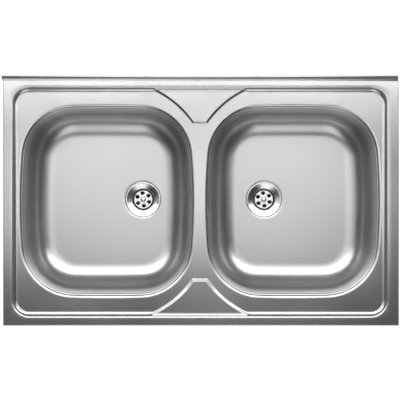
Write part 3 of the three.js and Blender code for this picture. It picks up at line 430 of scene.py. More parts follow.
# ---------------------------------------------------------------- deck
def s_curve(inset, width, drop, share=0.5):
    """Fall of an S of two arcs at an inset from its upper edge: 0 before it, drop after it. Both arcs turn by
    the same angle, and the upper one has a share of the width."""
    turn = 2 * np.arctan(drop / width)
    upper, lower = share * width / np.sin(turn), (1 - share) * width / np.sin(turn)
    t = np.clip(inset, 0, width)
    first = upper - np.sqrt(upper**2 - np.minimum(t, share * width) ** 2)
    second = drop - lower + np.sqrt(lower**2 - np.minimum(width - t, (1 - share) * width) ** 2)
    return np.where(t < share * width, first, second)


def pan_inset(x, y):
    """Distance inwards from the step's outer line, a rectangle with round corners."""
    qx = np.abs(x - PRESS_SHIFT) - (PAN_HALF[0] - STEP_CORNER)
    qy = np.abs(y) - (PAN_HALF[1] - STEP_CORNER)
    outside = np.hypot(np.maximum(qx, 0), np.maximum(qy, 0))
    return STEP_CORNER - outside - np.minimum(np.maximum(qx, qy), 0)


def pad_inset(x, y):
    """Distance inwards from the nearer pad's outline: its two hollow arcs and its square tip."""
    across, along = np.abs(x - PRESS_SHIFT), np.abs(y - PAD_Y)
    middle_x = PAD_TIP / 2 + PAD_ARC * np.cos(PAD_LEAN)
    middle_y = PAD_TIP_Y - PAD_ARC * np.sin(PAD_LEAN)
    hollow = np.hypot(across - middle_x, along - middle_y) - PAD_ARC
    inset = np.minimum(hollow, along - PAD_TIP_Y)
    return np.where(across < middle_x, inset, -1)


def deck_height(x, y):
    """The pressed sheet's top: the rim, down the S-shaped step to the deck, and up again onto the pads."""
    stepped = RIM_TOP - s_curve(pan_inset(x, y), STEP_WIDTH, STEP_DROP, STEP_TOP_ARC)
    rise = s_curve(pad_inset(x, y), PAD_BORDER, PAD_RISE)
    pad = DECK_TOP + rise
    blend = 3 * MM * rise / PAD_RISE + 1e-9  # the pad runs into the step with a soft line
    meet = np.maximum(blend - np.abs(stepped - pad), 0) / blend
    return np.maximum(stepped, pad) + np.where(rise > 0, blend * meet**2 / 4, 0)


def spaced(stops, counts):
    """Places from stop to stop, with a count of steps in each stretch."""
    runs = [np.linspace(a, b, n, endpoint=False) for a, b, n in zip(stops, stops[1:], counts)]
    return np.append(np.concatenate(runs), stops[-1])


def upstand_start():
    """Where the rear upstand leaves the rim."""
    leaf = UPSTAND_HEIGHT - UPSTAND_FOLD - UPSTAND_FOOT * (1 - np.sin(UPSTAND_LEAN))
    foot = UPSTAND_FOOT * np.cos(UPSTAND_LEAN)
    return SHEET_BACK - 2 * UPSTAND_FOLD - leaf * np.tan(UPSTAND_LEAN) - foot


REAR = upstand_start()
FRONT_IN = SHEET_FRONT + EDGE_BEND
SIDE_IN = SHEET_RIGHT - EDGE_BEND  # the flat rim ends here, to the left as to the right
# Places along the half sheet's sides, closer where the pads, the step and the small tabs are.
ACROSS = spaced([0, *np.array([18, 60, 105, 130, 180, 330]) * MM, SIDE_IN], [10, 16, 22, 26, 18, 32, 30])
ALONG = spaced([FRONT_IN, *np.array([-235, -220, -200, -172, -148, 148, 172, 200, 220, 235]) * MM, REAR],
               [4, 15, 9, 14, 22, 62, 22, 14, 9, 15, 3])


def half_xs(sign):
    """Places from the line between the bowls to a side's bend."""
    return PRESS_SHIFT + sign * ACROSS * (SIDE_IN - sign * PRESS_SHIFT) / SIDE_IN


SHEET_XS = np.concatenate([half_xs(-1)[::-1], half_xs(1)[1:]])


def half_sheet(sign):
    """Outer loop of one half of the flat sheet, counter-clockwise. Both halves share the line between the
    bowls."""
    front, back = pairs(half_xs(sign), FRONT_IN), pairs(half_xs(sign), REAR)
    middle, outer = pairs(PRESS_SHIFT, ALONG), pairs(sign * SIDE_IN, ALONG)
    if sign > 0:
        sides = (front, outer, back[::-1], middle[::-1])
    else:
        sides = (front[::-1], middle, back, outer[::-1])
    return np.concatenate([side[:-1] for side in sides])


def reach_to_step(middle, ray, low, high, inset):
    """How far each ray runs until its inset from the step's outer line has fallen to a value, found by
    halving the stretch between two reaches. It ends at the far one if the ray doesn't get there."""
    for _ in range(30):
        half = (low + high) / 2
        inside = pan_inset(*(middle + ray * half[:, None]).T) > inset
        low, high = np.where(inside, half, low), np.where(inside, high, half)
    return high


def deck_half(side):
    """One half of the deck: rays run from the bowl's rolled edge out to the half sheet's edge. Rows between
    them follow the step, so that its curve is the same all round."""
    middle = BOWL_MIDDLE[side]
    angle, ray, outer = rays(half_sheet(1 if side == "right" else -1), middle)
    rows = []
    turns = np.radians(np.arange(0, 91, 10))
    curl = pairs(LIP_REACH * (1 - np.cos(turns)), LIP_ROLL * (np.sin(turns) - 1))
    for grow, drop in [(0, -LIP_ROLL - LIP_SKIRT), *curl]:
        reach = reach_of(bowl_outline(grow), angle)
        rows.append(lift(middle + ray * reach[:, None], DECK_TOP + drop))
    foot = reach_to_step(middle, ray, reach, outer, STEP_WIDTH)
    top = reach_to_step(middle, ray, foot, outer, 0)
    for start, end, count in ((reach, foot, 34), (foot, top, 14), (top, outer, 3)):
        for share in np.linspace(0, 1, count + 1)[1:]:
            flat = middle + ray * (start + (end - start) * share)[:, None]
            rows.append(lift(flat, deck_height(*flat.T)))
    return np.stack(rows[::-1])


def edge_profile():
    """Rim edge to return lip as insets and heights: down round the bend, straight, and in at the bottom."""
    bend = arc((EDGE_BEND, RIM_TOP - EDGE_BEND), EDGE_BEND, 90, 180, 6)
    notch = RIM_TOP - UPSTAND_NOTCH
    skirt = [(0, notch + 1.5 * MM), (0, notch), (0, notch - 1.5 * MM), (0, 3.5 * MM)]
    turn = arc((LIP_BEND, LIP_BEND), LIP_BEND, 180, 270, 5)
    lip = [(2.6 * MM, 0), (8 * MM, 0), (LIP_WIDTH, 0)]
    return np.concatenate([bend, skirt, turn, lip])


def edge_rows():
    """The turned-down edge round the left side, the front and the right side. Its lip is mitred at the front
    corners, so each row is the sheet's outline at one inset."""
    rows = []
    for inset, height in edge_profile():
        x_edge, y_edge = SHEET_RIGHT - inset, SHEET_FRONT + inset
        xs = np.clip(SHEET_XS / SIDE_IN, -1, 1) * x_edge
        ys = y_edge + (ALONG - FRONT_IN) / (REAR - FRONT_IN) * (REAR - y_edge)
        row = np.concatenate([pairs(-x_edge, ys)[::-1], pairs(xs, y_edge)[1:-1], pairs(x_edge, ys)])
        rows.append(lift(row, height))
    return np.stack(rows)[:, ::-1]


def side_cheek(sign):
    """The side edge behind the upstand's start, below its notch. The rear lip butts against its lip."""
    profile = edge_profile()
    low = profile[profile[:, 1] <= RIM_TOP - UPSTAND_NOTCH + 1e-9]
    ys = np.linspace(REAR, SHEET_BACK - 0.4 * MM, 5)
    grid = np.stack(np.broadcast_arrays(sign * (SHEET_RIGHT - low[:, :1]), ys, low[:, 1:]), -1)
    return grid[:, ::-1] if sign > 0 else grid


def upstand():
    """The rear upstand: up from the rim, over its fold, down the back and in as a return lip. It stands a
    little past the sheet's left end, and its fold bows forward in the middle."""
    xs = np.concatenate([np.linspace(cad_low.x + 0.01 * MM, SHEET_XS[0], 5)[:-1], SHEET_XS])
    lean = np.degrees(UPSTAND_LEAN)
    foot = arc((REAR, RIM_TOP + UPSTAND_FOOT), UPSTAND_FOOT, -90, -lean, 8)
    foot = np.concatenate([foot[:1], foot])
    fold_y, fold_z = SHEET_BACK - UPSTAND_FOLD, RIM_TOP + UPSTAND_HEIGHT - UPSTAND_FOLD
    fold = arc((fold_y, fold_z), UPSTAND_FOLD, 180 - lean, 0, 10)
    back = pairs(SHEET_BACK, np.array([36, 30, 22, 12, 4]) * MM)
    turn = arc((SHEET_BACK - LIP_BEND, LIP_BEND), LIP_BEND, 0, -90, 5)
    lip = pairs(SHEET_BACK - np.array([LIP_BEND + HAIR, 8 * MM, LIP_WIDTH]), 0)
    profile = np.concatenate([foot, fold, back, turn, lip])
    rise = np.clip((profile[:, 1] - RIM_TOP) / UPSTAND_HEIGHT, 0, 1)
    weight = np.where(np.arange(len(profile)) < len(foot) + len(fold), rise, rise**2)[:, None]
    front = fold_y - UPSTAND_FOLD
    squeeze = 1 - (1 - UPSTAND_FOOT_LEFT) * np.clip(0.5 - xs / (2 * SHEET_RIGHT), 0, 1)
    bow = UPSTAND_BOW * (1 - (xs / SHEET_RIGHT) ** 2)
    tabs = sum(np.exp(-(((xs - tab) / TAB_WIDTH) ** 2)) for tab in TABS)
    y = profile[:, :1] + 0 * xs
    y[:len(foot)] = front + (y[:len(foot)] - front) * squeeze
    y[0] = REAR
    y -= weight * (bow + TAB_PUSH * tabs)
    z = profile[:, 1:] - TAB_SINK * weight**3 * tabs
    x = xs + 0 * y
    lip_end = SHEET_RIGHT - LIP_WIDTH - HAIR
    x[-len(lip):] = np.clip(xs, -lip_end, lip_end)
    return np.stack([x, y, z], -1)


DECK = {"sink_deck_left": [(deck_half("left"), True)], "sink_deck_right": [(deck_half("right"), True)],
        "sink_deck_edge": [edge_rows(), upstand(), side_cheek(1), side_cheek(-1)]}
for name, surfaces in DECK.items():
    make(name, surfaces, DECK_STEEL, "sink_deck", sheet=SHEET_T, sharp=60)


# ---------------------------------------------------------------- bowls
def bowl_profile():
    """The bowl's inner face from its flange to the floor's edge, as grow and height."""
    bend = arc((BOWL_LEDGE, BOWL_TOP - BOWL_BEND), BOWL_BEND, 90, 180 - np.degrees(BOWL_DRAFT), 8)
    middle_z = FLOOR + BOWL_FILLET
    wall_end = middle_z - BOWL_FILLET * np.sin(BOWL_DRAFT)
    wall_x, wall_z = bend[-1]
    end_x = wall_x - (wall_z - wall_end) * np.tan(BOWL_DRAFT)
    wall = np.linspace((wall_x, wall_z), (end_x, wall_end), 10)[1:-1]
    fillet_x = end_x - BOWL_FILLET * np.cos(BOWL_DRAFT)
    fillet = arc((fillet_x, middle_z), BOWL_FILLET, -np.degrees(BOWL_DRAFT), -90, 26)
    return np.concatenate([[(BOWL_FLANGE, BOWL_TOP)], bend, wall, fillet])


def recess_profile():
    """The waste's seat as radius and height: off the floor round an edge, down the slope and flat."""
    foot = RECESS_RADIUS - RECESS_SLOPE
    return np.array([(SEAT_RADIUS, 0), (RECESS_RADIUS + 0.9 * MM, -0.25 * MM), (RECESS_RADIUS, -1.2 * MM),
                     (foot + 0.5 * MM, 1.2 * MM - RECESS_DEPTH), (foot - 0.3 * MM, 0.2 * MM - RECESS_DEPTH),
                     (foot - 1.5 * MM, -RECESS_DEPTH), (DRAIN_HOLE, -RECESS_DEPTH)]) + (0, FLOOR)


def floor_rise(plan, drain):
    """How far the floor has risen at points, as a flat cone about the drain that starts softly."""
    soft = 8 * MM
    away = np.hypot(*(plan - drain).T) - SEAT_RADIUS
    return FLOOR_SLOPE * (np.hypot(away, soft) - soft)


def bowl(side):
    """One pressed bowl: parallel outlines down the wall and fillet, then rays across the floor, a flat cone
    that falls to the drain, and the round seat of the waste. The fillet's foot rises with the cone."""
    middle, drain = BOWL_MIDDLE[side], DRAIN[side]
    rows = []
    for grow, height in bowl_profile():
        plan = middle + bowl_outline(grow)
        foot = np.clip((FLOOR + BOWL_FILLET - height) / BOWL_FILLET, 0, 1) ** 2
        rows.append(lift(plan, height + foot * floor_rise(plan, drain)))
    _, ray, _ = rays(plan, drain)
    for share in np.linspace(0, 1, 26)[1:-1]:
        flat = plan + (drain + ray * SEAT_RADIUS - plan) * share
        rows.append(lift(flat, FLOOR + floor_rise(flat, drain)))
    for radius, height in recess_profile():
        rows.append(lift(drain + ray * radius, height))
    make(f"{side}_bowl_shell", [(np.stack(rows), True)], BOWL_STEEL, f"{side}_bowl", sheet=SHEET_T, sharp=60)


for side in ("left", "right"):
    bowl(side)

# ---------------------------------------------------------------- turned and swept pieces
# A grid's own X, Y and Z axes in the frame. "wall" turns its -Z to the wall and its X up.
FRAMES = {"+z": ((1, 0, 0), (0, 1, 0), (0, 0, 1)), "-z": ((1, 0, 0), (0, -1, 0), (0, 0, -1)),
          "+x": ((0, 0, -1), (0, 1, 0), (1, 0, 0)), "-x": ((0, 0, 1), (0, 1, 0), (-1, 0, 0)),
          "-y": ((1, 0, 0), (0, 0, 1), (0, -1, 0)), "wall": ((0, 0, 1), (-1, 0, 0), (0, -1, 0))}


def stand(grid, origin, axis="+z"):
    """Places a grid whose own +Z runs along an axis of the frame."""
    return grid @ np.array(FRAMES[axis], float) + np.asarray(origin)


def soften(points, radius, closed=True, steps=4):
    """Rounds the corners of a path of radius, height points. Each rounding takes at most 45% of an edge."""
    points = np.asarray(points, float)
    radius = np.broadcast_to(radius, len(points))
    path = []
    for i, (corner, size) in enumerate(zip(points, radius)):
        before, after = points[i - 1] - corner, points[(i + 1) % len(points)] - corner
        a, b = np.hypot(*before), np.hypot(*after)
        if size == 0 or (not closed and i in (0, len(points) - 1)) or a == 0 or b == 0:
            path.append(corner[None])
            continue
        before, after = before / a, after / b
        open_angle = np.arccos(np.clip(before @ after, -1, 1))
        if open_angle > 3.1:
            path.append(corner[None])
            continue
        cut = min(size / np.tan(open_angle / 2), 0.45 * a, 0.45 * b)
        size = cut * np.tan(open_angle / 2)
        middle = corner + (before + after) / np.hypot(*(before + after)) * size / np.sin(open_angle / 2)
        start, end = corner + before * cut - middle, corner + after * cut - middle
        turn = np.arctan2(start[0] * end[1] - start[1] * end[0], start @ end)
        bearing = np.arctan2(start[1], start[0]) + turn * np.linspace(0, 1, steps + 1)
        path.append(middle + size * circle(bearing))
    path = np.concatenate(path)
    return np.concatenate([path, path[:1]]) if closed else path


def turned(path, columns=64, lugs=None, start=0.0):
    """Turns a path of radius, height points round +Z: counter-clockwise in that half plane for a face that
    looks out. Lugs are a count and a radius, and the points beyond that radius carry the rounded lugs."""
    angle = start + bearings(columns)
    reach = np.repeat(path[:, :1], columns, 1)
    if lugs:
        count, core = lugs
        wave = np.clip(1.9 * np.sin(angle * count) + 0.75, 0, 1)
        reach = np.where(reach > core, reach + LUG * wave * wave * (3 - 2 * wave), reach)
    return around(reach, angle, path[:, 1:])


def pipe_thread(low, high):
    """A thread: a cylinder whose radius falls by a rounded wave that climbs one pitch per turn and fades out
    at both ends."""
    rows = int((high - low) / THREAD_PITCH * 8)
    z = np.linspace(low, high, rows + 1)[:, None]
    angle = bearings(72)
    groove = np.clip(0.5 - 1.1 * np.cos(2 * np.pi * z / THREAD_PITCH - angle), 0, 1)
    ends = np.clip(np.minimum(z - low, high - z) / (0.6 * THREAD_PITCH), 0, 1)
    return around(THREAD - THREAD_DEPTH * groove * ends, angle, z)


def swept(path, radius, columns=48):
    """A tube of round section along a path in the X-Z plane, given as x, z points."""
    ahead = np.gradient(path, axis=0)
    ahead /= np.hypot(*ahead.T)[:, None]
    side = np.column_stack([ahead[:, 1], 0 * ahead[:, 0], -ahead[:, 0]])[:, None]
    middle = np.column_stack([path[:, 0], 0 * path[:, 0], path[:, 1]])[:, None]
    cos, sin = circle(bearings(columns)).T[:, :, None]
    return middle + radius * (cos * side + sin * (0, 1, 0))


def block(low, high):
    """A plain box, as one closed strip and two ends."""
    (x0, y0, z0), (x1, y1, z1) = low, high
    ring = np.array([(x0, y0), (x1, y0), (x1, y1), (x0, y1)])
    middle = 0 * ring + ring.mean(0)
    return np.stack([lift(middle, z0), lift(ring, z0), lift(ring, z1), lift(middle, z1)])


# ---------------------------------------------------------------- strainers, wastes and pipes
PIPE, PIPE_BORE = 20 * MM, 17.6 * MM  # radii, as of the threads
THREAD, THREAD_BORE, THREAD_PITCH, THREAD_DEPTH = 23.8 * MM, 18.5 * MM, 3 * MM, 0.8 * MM
LUG, ELBOW, OUTLET_DROP = 1.6 * MM, 32 * MM, 86.1 * MM
STRAINER_HOLES, STRAINER_HOLE, HOLE_RING, HOLE_START = 6, 4.4 * MM, 13.5 * MM, np.radians(36)
STRAINER_DISC, STRAINER_BOTTOM, SCREW_HOLE = 18.7 * MM, -13 * MM, 3.1 * MM


def strainer(side):
    """A dished strainer of pressed sheet, with painted shade on the wall round its disc. The disc is six
    sectors, each a grid of rays from the edge of its hole to the sector's outline; the dish and the rim are
    turned."""
    half = np.pi / STRAINER_HOLES
    outer = np.linspace(-half, half, 17)
    run = np.linspace(STRAINER_DISC, SCREW_HOLE, 11)[1:-1, None]
    sector = np.concatenate([STRAINER_DISC * circle(outer), run * circle(half),
                             SCREW_HOLE * circle(outer[::-2]), run[::-1] * circle(-half)])
    hole = np.array([HOLE_RING, 0])
    _, ray, _ = rays(sector, hole)
    edge = hole + ray * (STRAINER_HOLE + 0.3 * MM)
    rows = [lift(edge + (sector - edge) * share, STRAINER_BOTTOM) for share in (1, 0.7, 0.4, 0.15)]
    for grow, sink in np.array([(0.3, 0), (0.13, 0.05), (0.03, 0.14), (0, 0.3)]) * MM:
        rows.append(lift(hole + ray * (STRAINER_HOLE + grow), STRAINER_BOTTOM - sink))
    patch = np.stack(rows)[::-1]
    turns = HOLE_START + bearings(STRAINER_HOLES)
    surfaces = [(about_z(patch, turn) + FLOOR_AT[side], True) for turn in turns]
    path = soften([(35.6, -1.5), (35.6, -0.8), (34.4, -0.8), (23.7, -4.4), (20.3, -13), (18.7, -13)],
                  [0, 0.4, 3, 0.8, 0.5, 0], closed=False, steps=6) * MM
    dish = turned(path[::-1], 16 * STRAINER_HOLES, start=HOLE_START - half)
    surfaces.append((dish + FLOOR_AT[side], True))
    piece = make(f"{side}_strainer_dish", surfaces, POLISH, f"{side}_strainer", sheet=SHEET_T, weld=2e-6)
    # Painted shade: the faces of the wall round the disc get the near-black steel.
    paint_shade_between(piece, PAINTED_SHADE_STEEL, FLOOR_AT[side], 20.1 * MM, 23.5 * MM)


def recessed_head(radius, top, cross, depth, bulge, edge):
    """A screw head's top: a dome of rings that falls by edge, with a cross pressed into it. The cross is the
    half width and half length of its arms, and its sides slope over a short way."""
    ring = radius * np.concatenate([np.linspace(1, 0.62, 8), np.linspace(0.6, 0, 30)])[:, None]
    dome = top - edge * (ring / radius) ** bulge
    head = around(ring, bearings(96), dome)
    x, y = np.abs(head[..., 0]), np.abs(head[..., 1])
    wide, long = cross
    inset = np.maximum(np.minimum(wide - x, long - y), np.minimum(wide - y, long - x))
    head[..., 2] -= depth * np.clip(inset / (0.22 * MM) + 0.5, 0, 1)
    return head


def strainer_screw(side):
    """The screw in the middle of a strainer: domed head with a cross recess, and its shank."""
    head = recessed_head(5.3 * MM, -9.6 * MM, (0.5 * MM, 1.5 * MM), 1.6 * MM, 4, 1.8 * MM)
    edge = np.array([(0, -31.5), (2.3, -31.5), (2.8, -31), (2.8, -12.7), (5.3, -12.7), (5.5, -12.4),
                     (5.5, -11.7), (5.3, -11.4)]) * MM
    surfaces = [(grid + FLOOR_AT[side], True) for grid in (head[::-1], turned(edge, 96))]
    name = f"{side}_strainer_screw"
    make(f"{name}_head", surfaces, POLISH, name, body=name, sharp=40)


def rubber_ring(name, path, at, node, axis="+z", body="sink", radius=0.4):
    """A turned rubber ring from a closed path in millimetres, with softened edges."""
    shape = soften(path, radius) * MM
    make(name, [(stand(turned(shape), at, axis), True)], RUBBER, node, body=body)


def waste_body(side):
    """Flange, cup, funnel and threaded outlet, with the screw's boss on three ribs. Its inside is painted
    dark as shade.
    """
    top, cup, funnel = -11.9, -35.9, -43.4
    end = (low_of(f"{side}_waste_body")[2] - FLOOR) / MM
    shell = soften([(26, top), (26, cup + 1.3), (18.5, funnel + 1.3), (18.5, end), (22.9, end),
                    (22.9, funnel - 0.6), (28.6, cup), (28.6, top - 3), (36.5, top - 3), (36.5, top)],
                   [0.4, 3, 3, 0.5, 0.5, 0, 3, 1.2, 0.5, 0.5]) * MM
    thread = pipe_thread((end + 0.6) * MM, (funnel - 0.6) * MM)
    boss = soften([(0, -33.8), (6, -33.8), (6, -15.8), (2.9, -15.8), (2.9, -30), (0, -30)],
                  [0, 0.6, 0.6, 0.2, 0, 0], closed=False) * MM
    rib = block(np.array((4, -1.2, -30.8)) * MM, np.array((27, 1.2, -18.8)) * MM)
    grids = [turned(shell, 72), thread, turned(boss, 48)]
    grids += [about_z(rib, np.pi / 2 + turn) for turn in bearings(3)]
    piece = make(f"{side}_waste_cup", [(grid + FLOOR_AT[side], True) for grid in grids], PLASTIC,
                 f"{side}_waste_body", sharp=45)
    # Painted shade: the cup's inside faces get the near-black plastic.
    paint_shade_between(piece, PAINTED_SHADE_INSIDE, FLOOR_AT[side], 0, 26.1 * MM)


def union(name, at, axis):
    """A joint: its nut has ten rounded lugs and a lip that grips the pipe's collar, and a rubber washer lies
    between the collar and the threaded end. Its own +Z runs towards the thread."""
    path = soften([(27.8, -8.9), (27.8, 15), (24.4, 15), (24.4, -5.9), (20.6, -5.9), (20.6, -8.9)],
                  [1.4, 1, 0.5, 0.3, 0.4, 0.5]) * MM
    nut, washer = f"{name}_nut", f"{name}_washer"
    make(f"{nut}_ring", [(stand(turned(path, 120, (10, 27 * MM)), at, axis), True)], PLASTIC, nut, body=nut)
    rubber_ring(f"{washer}_ring", [(17.6, -2.3), (22.6, -2.3), (22.6, -0.3), (17.6, -0.3)], at, washer, axis)


def tube(path, outer, inner):
    """A pipe's outside, inside and two end faces, as one closed loop of rings along a path."""
    out = swept(path, outer)
    return np.concatenate([out, swept(path, inner)[::-1], out[:1]])


def waste_arm(side):
    """An elbow pipe from a waste to the tee, with a collar at each end."""
    node = f"{side}_waste_arm"
    towards, end = (1, high_of(node)[0]) if side == "left" else (-1, low_of(node)[0])
    x, y = DRAIN[side]
    top, axis_z, run = high_of(node)[2], middle_of(f"{side}_arm_nut")[2], abs(end - x)
    curl = arc((ELBOW, axis_z + ELBOW), ELBOW, 180, 270, 20)
    path = np.concatenate([[(0, top), (0, top - 6 * MM)], curl, [(run - 6 * MM, axis_z), (run, axis_z)]])
    grid = tube(path, PIPE, PIPE_BORE)
    if towards < 0:
        grid = grid[:, ::-1] * (-1, 1, 1)
    ring = turned(soften([(19.5, -3), (22.6, -3), (22.6, 0), (18, 0), (18, -3)], 0.4) * MM, 48)
    collars = (stand(ring, (x, y, top)), stand(ring, (end, y, axis_z), "+x" if towards > 0 else "-x"))
    surfaces = [(surface, True) for surface in (grid + (x, y, 0), *collars)]
    make(f"{side}_waste_elbow", surfaces, PLASTIC, node, sharp=45)


def branch(core, bore, barrel, barrel_bore, flare):
    """Rings where a pipe that runs down along -Z leaves a barrel along X: from its plain wall out through a
    fillet onto the barrel, and back through the barrel's wall to the pipe's bore."""
    phi = np.radians(np.linspace(0, 90, 9))
    reach = np.append(core + flare * (1 - np.cos(phi)), bore)[:, None]
    under = np.append(flare * (1 - np.sin(phi)), 0)[:, None]
    round_of = np.append(np.full(9, barrel), barrel_bore)[:, None]
    grid = around(reach, bearings(96), 0)
    grid[..., 2] = -np.sqrt(np.maximum(round_of**2 - grid[..., 1] ** 2, (0.12 * barrel) ** 2)) - under
    return grid


def trap_tee(middle):
    """Threaded barrel across, pipe down with its collar, and the dip tube into the trap."""
    barrel = soften([(18.5, -37), (23.8, -37), (23.8, 37), (18.5, 37)], [0.4, 0.8, 0.8, 0.4]) * MM
    outside = soften([(13.1, -144.5), (15.5, -144.5), (15.5, -37.7), (22.6, -37.7), (22.6, -34.7),
                      (20, -34.7), (20, -29)], [0, 0.5, 0.8, 0.4, 0.4, 0.5, 0], closed=False) * MM
    inside = soften([(17.6, -29), (17.6, -34.7), (13.1, -36.5), (13.1, -144.5)], [0, 1, 1, 0],
                    closed=False) * MM
    root = branch(PIPE, PIPE_BORE, THREAD, THREAD_BORE, 3.5 * MM)
    pipe = np.concatenate([turned(outside, 96), root, turned(inside, 96)])
    surfaces = [(stand(turned(barrel, 96), middle, "+x"), True), (pipe + middle, True)]
    make("trap_tee_moulding", surfaces, PLASTIC, "trap_tee")


def trap_body(middle):
    """The bottle's body: threaded inlet, shoulder, straight wall, and the outlet's stub on the wall side."""
    shell = soften([(18.5, -40.3), (18.5, -65.3), (27, -65.3), (30, -68.3), (30, -130.5), (33, -130.5),
                    (33, -62.3), (22.9, -62.3), (22.9, -40.3)], [0.4, 1, 2, 2, 0.3, 0.5, 5, 1.2, 0.6]) * MM
    thread = pipe_thread(-61.6 * MM, -40.9 * MM)
    outside = soften([(18.5, -50), (23.8, -50), (23.8, -37)], [0, 0.6, 0], closed=False) * MM
    inside = np.array([(18.5, -37), (18.5, -50)]) * MM
    root = branch(THREAD, THREAD_BORE, 33 * MM, 30.2 * MM, 3 * MM)
    stub = np.concatenate([turned(outside, 96), root, turned(inside, 96)])
    outlet = stand(stub, (0, 0, -OUTLET_DROP), "wall")
    surfaces = [(grid + middle, True) for grid in (turned(shell, 96), thread, outlet)]
    make("trap_body_moulding", surfaces, PLASTIC, "trap_body")


def trap_cup(middle):
    """The bottle's lower half: threaded skirt with rounded lugs, chamfered cup and a dished foot."""
    path = soften([(0, -171.3), (11, -171.3), (13, -172.5), (24, -172.5), (33, -163.5), (33, -136.1),
                   (36.6, -136.1), (36.6, -117.5), (33.6, -117.5), (33.6, -133.1), (30, -133.1), (30, -160.5),
                   (21, -169.5), (0, -169.5)],
                  [0, 1, 1, 4, 4, 1.2, 1.4, 1.2, 0.6, 0.3, 0.4, 4, 4, 0], closed=False) * MM
    grid = turned(path, 196, (14, 35.6 * MM)) + middle
    make("trap_cup_moulding", [(grid, True)], PLASTIC, "trap_cup", body="trap_cup")


def outlet_pipe(at):
    """The pipe from the trap to the wall, with its collar."""
    path = soften([(17.6, -185.16), (20, -185.16), (20, -5.6), (22.6, -5.6), (22.6, -2.6), (17.6, -2.6)],
                  [0.4, 1, 0.5, 0.4, 0.5, 0.4]) * MM
    make("outlet_tube", [(stand(turned(path, 72), at, "-y"), True)], PLASTIC, "outlet_pipe")


def slot_edge(middle, bearing):
    """Points of a slanting slot with round ends, in each direction from its middle."""
    slant, run, radius = np.radians(30), 7 * MM, 2.6 * MM
    along, across = np.abs(circle(bearing - slant).T)
    flank = radius / np.maximum(across, 1e-9)
    tip = along * run + np.sqrt(np.maximum((along * run) ** 2 - run**2 + radius**2, 0))
    reach = np.where(flank * along <= run, flank, tip)
    return middle + reach[:, None] * circle(bearing)


def slotted_plate(side, y):
    """A bracket's surface towards the bowls: the hook over the return lip, a bend, and a plate with a slot.
    The plate is a grid of rays from the slot's edge to its outline. Made for the left side."""
    face, top, foot, half = -383.2 * MM, 2.6 * MM, -32 * MM, 20 * MM
    bend, corner, split, middle = 2.2 * MM, 4 * MM, -3 * MM, (0, -16 * MM)
    across = np.linspace(half, -half, 33)
    down = np.linspace(split, foot + corner, 13)[1:-1]
    bottom = np.linspace(-half + corner, half - corner, 29)[1:-1]
    outline = np.concatenate([
        pairs(across, split), pairs(-half, down), arc((-half + corner, foot + corner), corner, 180, 270, 6),
        pairs(bottom, foot), arc((half - corner, foot + corner), corner, 270, 360, 6),
        pairs(half, down[::-1])])
    slot = slot_edge(middle, rays(outline, middle)[0])
    rows = [slot + (outline - slot) * share for share in (0, 0.12, 0.4, 0.7, 1)]
    plate = np.stack([np.column_stack([np.full(len(row), face), row]) for row in rows])
    curl = arc((face - bend, top - bend), bend, 0, 90, 7)
    strip = np.concatenate([[(face, split)], curl, [(face - 6 * MM, top), (-393.7 * MM, top)]])
    hook = np.stack(np.broadcast_arrays(strip[:, :1], across, strip[:, 1:]), -1)
    turn = (1, 1, 1) if side == "left" else (-1, -1, 1)
    return [(grid[:, ::-1] * turn + (0, y, 0), wrap) for grid, wrap in ((plate, True), (hook, False))]


def wood_screw():
    """A wood screw along +Z: cross head, skirt, and a shank whose thread and core run out in a point."""
    head = recessed_head(4 * MM, 2.2 * MM, (0.45 * MM, 2.1 * MM), 1.1 * MM, 3, 0.8 * MM)
    skirt = np.array([(1.4, -1), (2, 0), (4, 0), (4.2, 0.3), (4.2, 1), (4, 1.4)]) * MM
    columns, core, pitch, depth, end = 96, 1.4 * MM, 1.8 * MM, 0.55 * MM, -13 * MM
    z = np.linspace(end + 0.2 * MM, -1 * MM, 60)[:, None]
    phase = z / pitch - bearings(columns) / (2 * np.pi)
    crest = np.clip(1 - 3.2 * np.abs(phase - np.round(phase)), 0, 1)
    cone = np.clip((z - end - 0.1 * MM) / (4 * MM), 0.03, 1)
    reach = cone * (core + depth * crest * np.clip(-z / pitch - 0.5, 0, 1))
    shank = around(reach, bearings(columns), z)
    tip = np.zeros((1, columns, 3)) + (0, 0, end)
    return np.concatenate([tip, shank, turned(skirt, columns), head])


def bracket(corner):
    """A bent steel bracket and its wood screw."""
    side, name, screw = corner.split("_")[1], f"bracket_{corner}", f"bracket_screw_{corner}"
    y = middle_of(name)[1]
    make(f"{name}_angle", slotted_plate(side, y), ZINC, name, body=name, sheet=1.5 * MM, sharp=40)
    x, axis = (high_of(screw)[0] - 2.2 * MM, "+x") if side == "left" else (low_of(screw)[0] + 2.2 * MM, "-x")
    grid = stand(wood_screw(), (x, y, middle_of(screw)[2]), axis)
    make(f"{name}_wood_screw", [(grid, True)], ZINC, screw, body=screw, sharp=35)


def sound_pad(side):
    """A sound-deadening pad under a bowl's floor: a sheet with round corners and soft edges."""
    node = f"{side}_sound_pad"
    low, high = low_of(node), high_of(node)
    middle, half, corner = (low + high) / 2, (high - low) / 2, 12 * MM
    rows = []
    for inset, z in (*(np.array([(0.5, 0), (0.15, 0.15), (0, 0.5)]) * MM + (0, low[2])), (0, high[2])):
        ring = [middle[:2] + (half[:2] - corner) * np.sign(circle(np.radians(start + 45)))
                + arc((0, 0), corner - inset, start, start + 90, 8) for start in (0, 90, 180, 270)]
        rows.append(lift(np.concatenate(ring), z))
    under, over = (0 * rows[0] + (*middle[:2], level[2]) for level in (low, high))
    make(f"{side}_sound_sheet", [(np.stack([under, *rows, over]), True)], BITUMEN, node, sharp=60)


